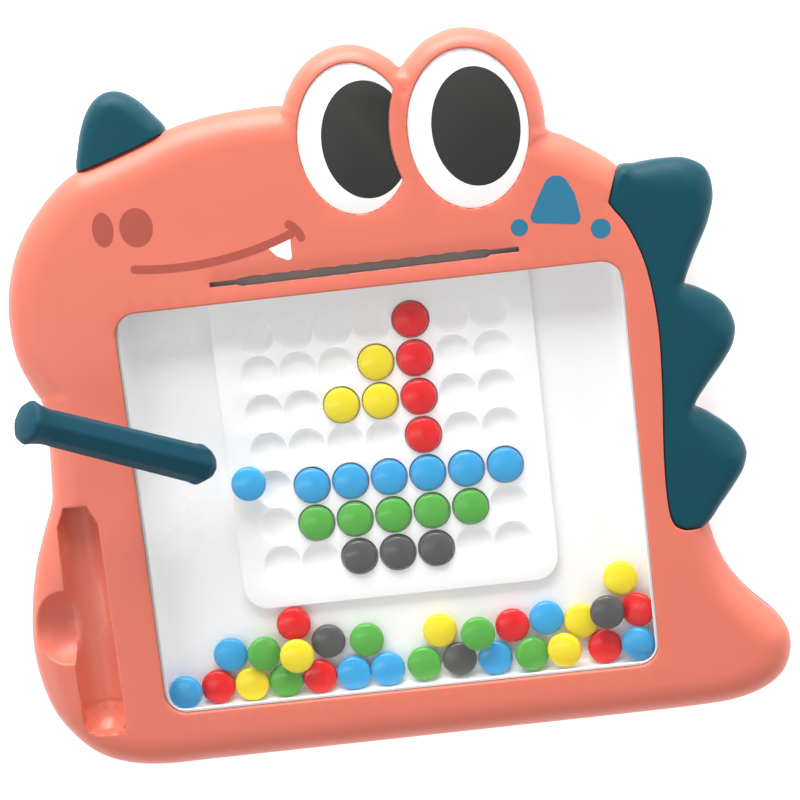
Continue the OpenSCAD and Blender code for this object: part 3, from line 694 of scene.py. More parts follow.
@dataclass
class Case:
    """The two halves of the clamshell case."""

    window: tuple[float, float, float, float, float] = (-96, 96, -97, 60, 8.5)
    window_lip: float = 0.8
    recess: tuple[float, float, float, float] = (-128.5, -112.5, -102, -11.5)
    recess_chamfer: tuple[float, float] = (3.5, 7.5)
    trough_r: float = 8.02
    pocket_up: float = 7.9
    pocket_r: float = 10.5
    pocket_d: float = 8.25
    trough_z: float = 20.0
    scoop_at: tuple[float, float, float] = (-130, -58, 29.5)
    scoop_r: float = 15.5
    scoop_soft: float = 1.5
    slot_floor: float = 20.5
    left_rim: tuple[float, float, float, float] = (2, 115.5, 28, 35)
    right_rim: tuple[float, float, float, float] = (44.5, 115, 29, 36.5)
    left_white: tuple[float, float, float, float] = (2, 115.5, 21, 28)
    right_white: tuple[float, float, float, float] = (44.5, 114.5, 22.5, 29.5)
    wall: float = 2.2
    back_round: float = 4.6
    outline: Line = field(default_factory=lambda: Line.smooth(CASE_KNOTS))
    crest_seat: Line = field(default_factory=lambda: Line(np.column_stack(
        [Line.smooth(CREST_KNOTS).moved(-0.15), np.ones(len(CREST_KNOTS) * 6)])))

    def slabs(self) -> list[Line]:
        """Head, body and the two eye domes, which join in soft creases."""
        return [Line.smooth(HEAD_KNOTS), Line.smooth(BODY_KNOTS),
                Line.ellipse(*self.left_rim, width=8, count=160),
                Line.ellipse(*self.right_rim, width=8, count=160)]

    def crown(self, at: np.ndarray) -> np.ndarray:
        """Height of the rounded face without its openings.

        Each slab falls from the face by t = h(1 - sqrt(1 - (1 - d/w)^2)) near its edge,
        and together they fall by the fourth-power mean of those falls, so that the
        lowest fall wins and the crease between two slabs is soft. A slab that ends within
        about a millimetre of the case's outline is stretched to it.

        Args:
            at: Points.

        Returns:
            Heights above the table.
        """
        rise = FACE_Z - WAIST_Z
        total = np.full(len(at), rise ** -4.0)
        rim, _ = self.outline.depth(at)
        for slab in self.slabs():
            depth, width = slab.depth(at)
            gap = np.maximum(rim - depth, 0)
            depth = depth + gap * (1 - np.clip(gap / 1.5 - 0.7, 0, 1))
            fall = rise * (1 - quarter_round(depth, width))
            total += np.where(depth > 0, np.maximum(fall, 1e-4) ** -4.0, 0.0)
        return FACE_Z - np.minimum(total ** -0.25, rise)

    def recess_line(self) -> Line:
        """The pen recess seen from above: small corners below, long chamfers above."""
        x0, x1, y0, y1 = self.recess
        cx, cy = self.recess_chamfer
        return Line.polygon([(x0, y0 + 4), (x0 + 1.2, y0 + 1.2), (x0 + 4, y0), (x1 - 4, y0),
                             (x1 - 1.2, y0 + 1.2), (x1, y0 + 4), (x1, y1 - cy),
                             (x1 - cx, y1), (x0 + cx, y1), (x0, y1 - cy)], 1.2)

    def slot_line(self, grow: float = 0.0) -> Line:
        """The card slot: two low arms and a taller middle."""
        g = grow
        return Line.polygon([(-58 - g, 66.6 - g), (-48, 66.6 - g), (-46, 65.8 - g),
                             (46, 66.2 - g), (48, 67.1 - g), (58.5 + g, 67.1 - g),
                             (58.5 + g, 68.9 + g), (48, 68.9 + g), (46, 69.6 + g),
                             (-46, 69.2 + g), (-48, 68.4 + g), (-58 - g, 68.4 + g)], 2.0)

    def trough(self, at: np.ndarray) -> np.ndarray:
        """Floor of the pen recess.

        A half-round trough, with a round pocket for the pen's tail at its lower end,
        whose depth is d (1 - (away / r)^2), and three small nubs that hold the pen.

        Args:
            at: Points.

        Returns:
            Heights above the table.
        """
        x0, x1, y0, _ = self.recess
        dx = at[:, 0] - (x0 + x1) / 2
        floor = self.trough_z - np.sqrt(np.maximum(self.trough_r ** 2 - dx ** 2, 0.1))
        middle_y = y0 + self.pocket_up
        away = np.hypot(dx, at[:, 1] - middle_y) / self.pocket_r
        pocket = self.trough_z - 0.5 - self.pocket_d * np.maximum(1 - away ** 2, 0)
        floor = np.where(at[:, 1] < middle_y, pocket, np.minimum(floor, pocket))
        floor = floor + 0.7 / (1 + np.exp(-(y0 + 9.2 - at[:, 1] - dx ** 2 / 40) / 0.12))
        for y, side in ((-30.5, -1), (-30.5, 1), (-86.0, 1)):
            r = np.hypot(dx - side * 7.6, at[:, 1] - y)
            floor = floor + 1.2 * np.exp(-(r / 0.9) ** 2)
        return floor

    def face(self, at: np.ndarray) -> np.ndarray:
        """Height of the front half's outer face with all that is sunk into it.

        The crown less a small lip round the window, the recess, the slot and the eyes;
        inside each of them its own floor; and the finger scoop's ball, blended in.

        Args:
            at: Points.

        Returns:
            Heights above the table.
        """
        z = self.crown(at)
        x0, x1, y0, y1, r = self.window
        half = np.array([(x1 - x0) / 2 - r, (y1 - y0) / 2 - r])
        q = np.abs(at - [(x0 + x1) / 2, (y0 + y1) / 2]) - half
        to_window = np.linalg.norm(np.maximum(q, 0), axis=1) + np.minimum(q.max(1), 0) - r
        z = z - np.where(to_window > -0.1, lip(np.maximum(to_window, 0), self.window_lip), 0)
        into, _ = self.recess_line().depth(at)
        z = z - np.where(into <= 0, lip(-into, 0.9), 0)
        z = np.where(into > 0.03, np.minimum(z, self.trough(at)), z)
        cx, cy, cz = self.scoop_at
        off = np.hypot(at[:, 0] - cx, at[:, 1] - cy)
        bowl = cz - np.sqrt(np.maximum(self.scoop_r ** 2 - off ** 2, 0.0))
        bowl = np.where(off < self.scoop_r, bowl, FAR)
        blend = np.clip(1 - np.abs(z - bowl) / self.scoop_soft, 0, 1)
        soft = np.where(into < 0, 1, np.clip(into / 1.5, 0, 1)) * self.scoop_soft
        z = np.minimum(z, bowl) - soft * blend ** 2 / 4
        for line, floor, edge in ((self.slot_line(), self.slot_floor, 0.35),
                                  (self.eye_line("left"), EYE_FLOOR_Z, 0.5),
                                  (self.eye_line("right"), EYE_FLOOR_Z, 0.5)):
            deep, _ = line.depth(at)
            z = z - np.where(deep <= 0, lip(-deep, edge), 0)
            z = np.where(deep > 0.03, floor, z)
        seat, _ = self.crest_seat.depth(at)
        return z - lip(np.maximum(-seat, 0), 0.35)

    def scoop_rim(self, out: float) -> np.ndarray:
        """The line where the finger scoop's ball meets the rounded face.

        In each direction from the scoop's middle the distance is halved in on until the
        ball's height cz - sqrt(r^2 - off^2) equals that of the face.

        Args:
            out: How far outside that line the result lies.

        Returns:
            The points, anticlockwise, held to the left of the recess.
        """
        cx, cy, cz = self.scoop_at
        a = np.linspace(0, 2 * np.pi, 150, endpoint=False)
        way = np.column_stack([np.cos(a), np.sin(a)])
        low, high = np.full(len(a), 6.0), np.full(len(a), self.scoop_r - 0.1)
        for _ in range(24):
            off = (low + high) / 2
            ball = cz - np.sqrt(self.scoop_r ** 2 - off ** 2)
            above = ball > self.crown(way * off[:, None] + (cx, cy))
            low, high = np.where(above, low, off), np.where(above, off, high)
        points = way * (low + out)[:, None] + (cx, cy)
        points[:, 0] = np.minimum(points[:, 0], self.recess[0] - 0.4)
        return points

    def eye_line(self, side: str, grow: float = 0.0, count: int = 160) -> Line:
        """The opening for an eye; the left one is cut short by the right eye's rim.

        The cut is made by pushing the points of the left ellipse that lie inside the
        right rim back along the row to the rim.

        Args:
            side: left or right.
            grow: How far the opening is widened.
            count: Points round the ellipse.

        Returns:
            The line.
        """
        if side == "right":
            x, y, rx, ry = self.right_white
            return Line.ellipse(x, y, rx + grow, ry + grow, count=count)
        x, y, rx, ry = self.left_white
        line = Line.ellipse(x, y, rx + grow, ry + grow, count=count * 2)
        cx, cy, crx, cry = self.right_rim
        crx, cry = crx - grow, cry - grow
        px, py = line.points[:, 0], line.points[:, 1]
        reach = np.sqrt(np.maximum(1 - ((py - cy) / cry) ** 2, 0)) * crx
        line.points[:, 0] = np.where((px > cx - reach) & (px > x), cx - reach, px)
        return line

    def under(self, at: np.ndarray) -> np.ndarray:
        """The front half's inner face: a wall's thickness under the outer one.

        Args:
            at: Points.

        Returns:
            Heights above the table.
        """
        depth, _ = self.outline.depth(at)
        outer = self.face(at)
        inner = np.minimum(self.crown(at) - FACE_WALL + 0.05, outer - 1.3)
        edge = np.clip((depth - self.wall) / 0.25, 0, 1)
        rim = SPLIT_Z + 0.05
        return np.maximum(rim, rim + (inner - rim) * edge)

    def front(self) -> bpy.types.Object:
        """Builds the front half with the window, the slot and the recesses.

        Returns:
            The moulding.
        """
        shares = 1 - np.cos(np.radians(np.arange(0, 91, 9)))
        lines = [self.outline.moved(0, s) for s in shares]
        lines += [self.outline.moved(s) for s in (self.wall, self.wall + 0.25)]
        for s in (0, 0.04, 0.16, 0.34, 0.56, 0.8):
            x0, x1, y0, y1, r = self.window
            lines.append(Line.rounded(x0 - s, x1 + s, y0 - s, y1 + s, r + s).points[:, :2])
        recess, slot = self.recess_line(), self.slot_line()
        lines += [recess.moved(s) for s in (-0.9, -0.6, -0.35, -0.15, 0, 0.06)]
        lines += [slot.moved(s) for s in (-0.35, -0.15, 0, 0.05)]
        for side in ("left", "right"):
            for s in (0.5, 0.25, 0.08, 0, -0.06):
                lines.append(self.eye_line(side, s).points[:, :2])
        lines += [self.crest_seat.moved(s) for s in (0, -0.1, -0.2, -0.35)]
        lines += [self.scoop_rim(s) for s in (-1.1, -0.7, -0.4, -0.15, 0.1, 0.35, 0.7)]
        x, y, _ = self.scoop_at
        scoop = np.vstack([Line.ellipse(x, y, r, r, count=72).points[:, :2]
                           for r in np.arange(1, 13, 0.8)])
        scoop = scoop[scoop[:, 0] < self.recess[0] - 0.5]
        x0, x1, y0, y1 = self.recess
        seeds = [grid(-148, 150, -120, 153, 7.0), scoop,
                 grid(x0 + 0.4, x1 - 0.4, y0 + 0.4, y1 - 0.4, 0.8),
                 grid(-46, -8, 108, 150, 1.0), grid(8, 34, 124, 149, 1.0),
                 grid(58, 92, 96, 124, 1.0), grid(-134, -110, 18, 50, 1.0),
                 self.rolled_seeds()]
        window = Line.rounded(*self.window)
        relief = Relief(
            lines=lines, seeds=np.vstack(seeds),
            keep=lambda at: (self.outline.inside(at) & ~window.inside(at)
                             & ~self.crest_seat.inside(at)),
            upper=self.face, lower=self.under,
            draft=((0.06, 0.5), (0.2, 0.06), (0.55, 0.0)))
        points, faces = relief.built()
        tri = faces[0]
        middle = points[tri].mean(1)
        # Painted shade: faces inside the slot take the grey-brown slot colour.
        slot_shade_faces = (self.slot_line(0.02).inside(middle[:, :2])) & (middle[:, 2] < 23.6)
        finish = np.zeros(sum(len(f) for f in faces), int)
        finish[:len(tri)][slot_shade_faces] = 1
        # Painted light: faces in the recess take the recess's own lighter copy of the coral.
        finish[:len(tri)][self.recess_line().depth(middle[:, :2])[0] > 0.02] = 2
        return new_piece("case_front_moulding", points, faces,
                         (CORAL_ABS, SLOT_SHADE_ABS, RECESS_PAINTED_LIGHT_ABS), "case",
                         ("front_shell",), finish)

    def rolled_seeds(self) -> np.ndarray:
        """Free points over the rounded edges, where the face is not flat."""
        net = grid(-148, 150, -120, 153, 2.0)
        depth, width = self.outline.depth(net)
        return net[(depth > 0) & (depth < width + 2)]

    def back(self) -> bpy.types.Object:
        """Builds the back half: a dish with a rounded edge and eight screw wells.

        Returns:
            The moulding.
        """
        shares = 1 - np.cos(np.radians(np.arange(0, 91, 10)))
        lines = [self.outline.moved(self.back_round * s) for s in shares]
        lines += [self.outline.moved(s) for s in (2.2, 3.6)]
        for x, y in SCREW_AT:
            lines += [Line.ellipse(x, y, r, r, count=40).points[:, :2]
                      for r in (3.1, 3.16, 3.4, 3.7)]

        def outside(at: np.ndarray) -> np.ndarray:
            """The underside, rounded at its edge and sunk at the screws."""
            depth, _ = self.outline.depth(at)
            z = 8.2 * (1 - quarter_round(depth, self.back_round))
            for x, y in SCREW_AT:
                off = np.hypot(at[:, 0] - x, at[:, 1] - y)
                z = np.where(off < 3.13, 1.2, z + lip(np.maximum(off - 3.16, 0), 0.5))
            return z

        def within(at: np.ndarray) -> np.ndarray:
            """The inner face, which falls from the rim to the floor in an S-curve."""
            depth, _ = self.outline.depth(at)
            fall = np.clip((depth - 2.2) / 1.4, 0, 1)
            return 8.92 - 6.92 * fall * fall * (3 - 2 * fall)

        relief = Relief(lines=lines, seeds=grid(-148, 150, -120, 153, 7.0),
                        keep=self.outline.inside, upper=within, lower=outside,
                        draft=((0.0, 0.4), (0.0, 0.0)))
        points, faces = relief.built()
        return new_piece("case_back_moulding", points, faces, (CORAL_ABS,),
                         "case", ("back_cover",))


@dataclass
class Fins:
    """The teal crest along the back and the horn on the snout."""

    crest_top: float = 23.2
    horn_top: float = 19.0
    foot: float = 9.2
    deepest_fall: float = 7.6

    def cushion(self, line: Line, top: float, keep: Callable[[np.ndarray], np.ndarray],
                extra: Sequence[np.ndarray] = ()) -> Relief:
        """A flat-footed shape whose upper edge is rounded by each place's edge width.

        Its height falls from the top by 1.08 w (1 - sqrt(1 - (1 - d/w)^2)), where the
        factor before the bracket is no more than the deepest fall.

        Args:
            line: The outline.
            top: Height of the flat top.
            keep: Which places belong to the shape.
            extra: Further lines that the mesh follows.

        Returns:
            The relief.
        """
        def upper(at: np.ndarray) -> np.ndarray:
            """The swollen top less the fall at its rounded edge."""
            depth, width = line.depth(at)
            swell = 0.35 * quarter_round(depth, 26.0)
            drop = np.minimum(1.08 * width, self.deepest_fall)
            return top + swell - drop * (1 - quarter_round(depth, width))

        shares = 1 - np.cos(np.radians(np.arange(0, 91, 9)))
        net = grid(-148, 150, -120, 153, 1.5)
        return Relief(lines=[line.moved(0, s) for s in shares] + list(extra),
                      seeds=net[line.inside(net)], keep=keep, upper=upper,
                      lower=lambda at: np.full(len(at), self.foot),
                      draft=((0.0, 0.4), (0.3, 0.08), (0.8, 0.0)))

    def build(self, case: Case) -> None:
        """Builds the crest, and the horn cut off where the head's edge stands before it.

        Args:
            case: The case that both are set into.
        """
        crest = Line.smooth(CREST_KNOTS)
        points, faces = self.cushion(crest, self.crest_top, crest.inside).built()
        new_piece("crest_moulding", points, faces, (TEAL_ABS,), "case",
                  ("crest",))
        horn = Line.smooth(HORN_KNOTS)
        edge = case.outline.moved(0.3)
        head = Line(np.column_stack([edge, np.ones(len(edge))]))
        relief = self.cushion(horn, self.horn_top,
                              lambda at: horn.inside(at) & ~head.inside(at), [edge])
        points, faces = relief.built()
        new_piece("horn_moulding", points, faces, (TEAL_ABS,), "case",
                  ("horn",))


# ---- Inside the window ----


@dataclass
class Inside:
    """The white tray and the dimple plate under the clear pane."""

    half_w: float = 97.0
    y_low: float = -98.4
    y_high: float = 61.5
    tray_wall: float = 1.6
    ledge: float = 1.9
    corner: float = 8.0
    fillet: float = 5.0
    pitch: float = 15.0
    dimple_r: float = 7.2
    dimple_d: float = 2.6
    plate: tuple[float, float, float, float, float] = (-61.7, 61.7, -62.4, 61.5, 9.5)

    def tray(self) -> bpy.types.Object:
        """Carries the tray's section round its rounded rectangle.

        The section is pairs of how far out from the inner wall, and how high: under the
        floor, up the outside, over the rim with its narrow ledge, down the inside and
        round the fillet, which is a quarter circle.

        Returns:
            The tray.
        """
        f, top, low = self.fillet, PANE_Z - 0.02, TRAY_Z - 1.8
        turn = np.radians(np.arange(0, 91, 9))
        w, ledge = self.tray_wall, self.ledge
        out = np.concatenate([[-12, w - 0.6, w, w, w - 0.2, 0.25 - ledge, -ledge, -ledge,
                               0.0], -f * (1 - np.cos(turn)), [-12]])
        high = np.concatenate([[low, low, low + 0.6, top - 0.2, top, top, top - 0.25,
                                top - 0.6, top - 0.6 - ledge],
                               TRAY_Z + f * (1 - np.sin(turn)), [TRAY_Z]])
        rings = []
        for o, z in zip(out, high):
            ring = Line.rounded(-self.half_w - o, self.half_w + o, self.y_low - o,
                                self.y_high + o, max(self.corner + o, 0.8), 400).points
            rings.append(np.column_stack([ring[:, :2], np.full(len(ring), z)]))
        n, m = len(rings[0]), len(rings)
        k = np.arange(n * m).reshape(m, n)
        nxt = np.roll(k, -1, axis=1)
        sides = np.stack([k[:-1], nxt[:-1], nxt[1:], k[1:]], axis=2).reshape(-1, 4)
        return new_piece("bead_tray_moulding", np.vstack(rings),
                         [sides, k[:1, ::-1], k[-1:]], (WHITE_STYRENE,),
                         "case", ("bead_tray",))

    def dimple_plate(self) -> bpy.types.Object:
        """Builds the plate with its seven rows of seven dimples.

        A dimple's depth at radius r is d sqrt(1 - (r/R)^4): a nearly flat floor with a
        steep round wall. A small lip of 0.35 mm rounds its edge.

        Returns:
            The plate.
        """
        x0, x1, y0, y1, r = self.plate
        middles = grid(-3, 3, -3, 3, 1)
        middles = np.array([(i * self.pitch, j * self.pitch)
                            for j in range(-3, 4) for i in range(-3, 4)])
        share = np.array([0.3, 0.55, 0.75, 0.87, 0.94, 0.98, 1.0])
        radii = np.concatenate([self.dimple_r * share, self.dimple_r + np.array([.15, .28])])
        lines = [Line.ellipse(x, y, q, q, count=56).points[:, :2]
                 for x, y in middles for q in radii]
        for s in (0.0, 0.08, 0.3, 0.6):
            lines.append(Line.rounded(x0 + s, x1 - s, y0 + s, y1 - s, r, 4,
                                      (r - s, r - s, 0.8, 0.8)).points[:, :2])

        def upper(at: np.ndarray) -> np.ndarray:
            """The flat top less the nearest dimple and the rounded edges."""
            nearest = np.clip(np.round(at / self.pitch), -3, 3) * self.pitch
            off = np.hypot(*(at - nearest).T)
            deep = self.dimple_d * np.sqrt(np.maximum(1 - (off / self.dimple_r) ** 4, 0))
            z = PLATE_Z - deep - lip(np.maximum(off - self.dimple_r, 0), 0.3)
            edge = np.minimum.reduce([at[:, 0] - x0, x1 - at[:, 0], at[:, 1] - y0])
            corner = np.hypot(np.maximum(np.abs(at[:, 0]) - (x1 - r), 0),
                              np.maximum(y0 + r - at[:, 1], 0))
            edge = np.where(corner > 0, np.minimum(edge, r - corner), edge)
            return z - lip(np.maximum(edge, 0), 0.6)

        border = Line.rounded(x0, x1, y0, y1, r, 4, (r, r, 0.8, 0.8))
        relief = Relief(lines=lines, seeds=middles, keep=border.inside, upper=upper,
                        lower=lambda at: np.full(len(at), TRAY_Z - 0.05))
        points, faces = relief.built()
        return new_piece("dimple_plate_moulding", points, faces, (WHITE_STYRENE,),
                         "case", ("peg_plate",))


# ---- Eyes and prints ----


@dataclass
class Face:
    """The eye discs and the pad-printed mouth, nostrils, tooth and spots."""

    left_pupil: tuple[float, float, float, float] = (6.5, 114.7, 16.6, 21.8)
    right_pupil: tuple[float, float, float, float] = (47.5, 115, 16.5, 22)
    smile_at: tuple[float, float] = (-68.7, 199.6)
    smile_r: float = 124.2
    pen_width: float = 1.6
    ink_top: float = FACE_Z + 0.05

    def disc(self, name: str, line: Line, low: float, high: float, finish: Plastic,
             node: str) -> bpy.types.Object:
        """A thin flat plate over a line, with a softened upper edge.

        Args:
            name: The piece's name.
            line: Its outline.
            low: Height of its underside.
            high: Height of its top.
            finish: Its finish.
            node: The CAD node that it stands for.

        Returns:
            The plate.
        """
        edge = min(0.15, (high - low) / 3)
        n = len(line.points)
        insets, levels = (0, 0, edge * 0.3, edge), (low, high - edge, high - edge * 0.3, high)
        rings = [np.column_stack([line.moved(s), np.full(n, z)])
                 for s, z in zip(insets, levels)]
        k = np.arange(n * 4).reshape(4, n)
        nxt = np.roll(k, -1, axis=1)
        sides = np.stack([k[:-1], nxt[:-1], nxt[1:], k[1:]], axis=2).reshape(-1, 4)
        return new_piece(name, np.vstack(rings), [sides, k[:1, ::-1], k[-1:]], (finish,),
                         "case", (node,))

    def eyes(self, case: Case) -> None:
        """Builds both whites and pupils in their recesses."""
        for side in ("left", "right"):
            white = case.eye_line(side, -0.12)
            self.disc(f"{side}_eye_disc", white, EYE_FLOOR_Z - 0.02, 23.2, EYE_WHITE,
                      f"{side}_eye_white")
            x, y, rx, ry = self.left_pupil if side == "left" else self.right_pupil
            pupil = Line.ellipse(x, y, rx, ry, count=160)
            if side == "left":
                cx, cy, crx, cry = case.right_rim
                crx, cry = crx + 0.18, cry + 0.18
                px, py = pupil.points[:, 0], pupil.points[:, 1]
                reach = np.sqrt(np.maximum(1 - ((py - cy) / cry) ** 2, 0)) * crx
                pupil.points[:, 0] = np.where(px > cx - reach, cx - reach, px)
            self.disc(f"{side}_pupil_disc", pupil, 22.8, 23.27, PUPIL_BLACK,
                      f"{side}_pupil")

    def stroke(self, path: np.ndarray, half: float) -> Line:
        """The outline of a pen stroke: the path moved to both sides, with round ends.

        Args:
            path: Points along the stroke.
            half: Half its width.

        Returns:
            The outline.
        """
        run = np.gradient(path, axis=0)
        side = np.column_stack([-run[:, 1], run[:, 0]])
        side /= np.linalg.norm(side, axis=1)[:, None]
        left, right = path + side * half, path - side * half
        caps = []
        for end, axis in ((path[-1], side[-1]), (path[0], -side[0])):
            a = np.linspace(0, np.pi, 11)[1:-1]
            start = math.atan2(-axis[1], -axis[0])
            caps.append(end + half * np.column_stack([np.cos(start + a),
                                                      np.sin(start + a)]))
        joined = np.vstack([right, caps[0], left[::-1], caps[1]])
        return Line(np.column_stack([joined, np.ones(len(joined))]))

    def ink(self, name: str, lines: Sequence[Line], finish: Plastic, node: str,
            without: Line | None = None) -> bpy.types.Object:
        """Prints one colour: thin plates over the union of some outlines.

        Args:
            name: The piece's name.
            lines: The outlines.
            finish: The ink.
            node: The CAD node that the print stands for.
            without: An outline that is left free.

        Returns:
            The print.
        """
        def keep(at: np.ndarray) -> np.ndarray:
            """Whether a place is inked: inside any outline and outside the free one."""
            kept = np.logical_or.reduce([line.inside(at) for line in lines])
            return kept if without is None else kept & ~without.inside(at)

        follow = [line.points[:, :2] for line in lines]
        if without is not None:
            follow.append(without.points[:, :2])
        relief = Relief(lines=follow, seeds=np.zeros((0, 2)), keep=keep,
                        upper=lambda at: np.full(len(at), self.ink_top),
                        lower=lambda at: np.full(len(at), FACE_Z - 0.25))
        points, faces = relief.built()
        return new_piece(name, points, faces, (finish,), "case", (node,),
                         sharp_deg=20)

    def blob(self, circles: Sequence[tuple[float, float, float]]) -> Line:
        """The tight band round some circles.

        For each direction the band's distance from the middle is the greatest reach of
        any circle, and its points come from the envelope of those support lines.

        Args:
            circles: x, y and radius of each.

        Returns:
            The outline.
        """
        c = np.array(circles, float)
        a = np.linspace(0, 2 * np.pi, 180, endpoint=False)
        way = np.column_stack([np.cos(a), np.sin(a)])
        best = (way @ c[:, :2].T + c[:, 2]).argmax(1)
        pts = c[best, :2] + way * c[best, 2][:, None]
        return Line.polygon(pts, 1.5)

    def prints(self) -> None:
        """Prints the mouth, the nostrils, the tooth and the spots."""
        cx, cy = self.smile_at
        start = math.atan2(76.5 - cy, -85.1 - cx)
        stop = math.atan2(83.2 - cy, -25.2 - cx)
        a = np.linspace(start, stop, 60)
        smile = self.stroke(np.column_stack([cx + self.smile_r * np.cos(a),
                                             cy + self.smile_r * np.sin(a)]),
                            self.pen_width)
        t = np.linspace(0, 1, 16)[:, None]
        bent = np.array([[-25.7, 86.8]]) * (1 - t) + np.array([[-21.7, 81.5]]) * t
        bent = bent + np.array([[0.5, 0.4]]) * (4 * t * (1 - t))
        cheek = self.stroke(bent, 1.6)
        self.ink("mouth_print_ink", [smile, cheek], BROWN_INK, "mouth_print")
        self.ink("nostril_print_ink",
                 [Line.ellipse(-95, 92.5, 4, 6.5), Line.ellipse(-82.5, 92, 6.3, 7.3)],
                 BROWN_INK, "nostril_prints")
        tooth = self.blob([(-34.2, 79.0, 0.3), (-26.3, 82.3, 0.5), (-27.35, 75.05, 1.4),
                           (-30.6, 76.6, 1.4)])
        self.ink("tooth_print_ink", [tooth], WHITE_INK, "tooth_print", smile)
        big = self.blob([(74.6, 88.9, 4.8), (66.4, 79.2, 2.4), (79.9, 77.6, 2.6),
                         (77.4, 85, 4), (70.2, 84.2, 3.4)])
        self.ink("spot_print_ink", [big, Line.ellipse(59.5, 76, 3.2, 3.2, count=64),
                                    Line.ellipse(89.5, 72.3, 3.7, 3.7, count=64)],
                 BLUE_INK, "cheek_spots")


# ---- Pen and beads ----


@dataclass
class Pen:
    """The magnetic pen, leaning from the bead that it drags."""

    nose_at: tuple[float, float, float] = (-65.8, -1.6, 24.4)
    turn_deg: float = 149.0
    tilt_deg: float = 40.0
    length: float = 86.0
    barrel_r: float = 6.6

    def octagon(self, angle: np.ndarray, power: float) -> np.ndarray:
        """Eight flats with rounded corners.

        The radius factor is (sum of |cos(angle - k 45 deg)|^p over k)^(-1/p): the larger
        p is, the sharper the corners.

        Args:
            angle: Angles round the axis.
            power: The p of the formula.

        Returns:
            Factors on the radius.
        """
        flats = np.arange(8) * np.pi / 4
        towards = np.maximum(np.cos(angle[:, None] - flats[None, :]), 0)
        return (towards ** power).sum(1) ** (-1 / power) * 1.03

    def turned(self, points: np.ndarray) -> np.ndarray:
        """Moves points from the pen's own axis to where the pen is."""
        spin = (Matrix.Rotation(math.radians(self.turn_deg), 3, "Z")
                @ Matrix.Rotation(math.radians(90 - self.tilt_deg), 3, "Y"))
        return points @ np.array(spin).T + np.array(self.nose_at)

    def part(self, name: str, profile: Sequence[tuple[float, float]], power: float,
             node: str) -> bpy.types.Object:
        """One part of the pen: a profile carried round its axis.

        Args:
            name: The piece's name.
            profile: Pairs of height along the pen and radius; the ends are closed.
            power: Sharpness of the eight corners.
            node: The CAD node that it stands for.

        Returns:
            The part.
        """
        rows = np.array(profile, float)
        heights = np.concatenate([[rows[0, 0]], rows[:, 0], [rows[-1, 0]]])
        points, faces = lathe_grid(rows[:, 1], heights, 96,
                                   lambda a: self.octagon(a, power))
        return new_piece(name, self.turned(points), faces, (PEN_ABS,),
                         "pen", (node,), sharp_deg=50)

    def build(self) -> None:
        """Builds the nose with its collar, the barrel and the flared tail."""
        r, end = self.barrel_r, self.length
        self.part("pen_nose_moulding", [
            (0.0, 0.6), (0.05, 1.6), (0.3, 2.6), (0.9, 3.5), (1.8, 4.4), (3.2, 5.4),
            (4.8, 6.4), (5.8, 6.95), (6.4, 7.15), (7.2, 7.2), (8.2, 7.15), (9.0, 7.0),
            (10.0, 6.86), (10.0, 5.0)], 26, "pen_nose")
        s = np.linspace(0, 1, 24)
        barrel = [(9.95, 5.2)] + [
            (9.95 + (end - 21.85) * q, r + 0.24 - 0.8 * q) for q in s] + [(end - 11.9, 5.2)]
        self.part("pen_barrel_moulding", barrel, 26, "pen_barrel")
        flare = np.linspace(0, 1, 14)
        bell = [(end - 12 + 9.4 * q, 6.04 + 1.46 * q ** 2.2) for q in flare]
        turn = np.radians(np.arange(12, 91, 13))
        edge = [(end - 2.6 + 1.9 * math.sin(a), 5.5 + 2.0 * math.cos(a)) for a in turn]
        crown = [(end - 0.7 + 0.7 * (1 - (q / 5.5) ** 2), q)
                 for q in (4.6, 3.6, 2.4, 1.2, 0.4)]
        self.part("pen_tail_moulding", [(end - 12, 5.0)] + bell + edge + crown, 14,
                  "pen_tail_cap")


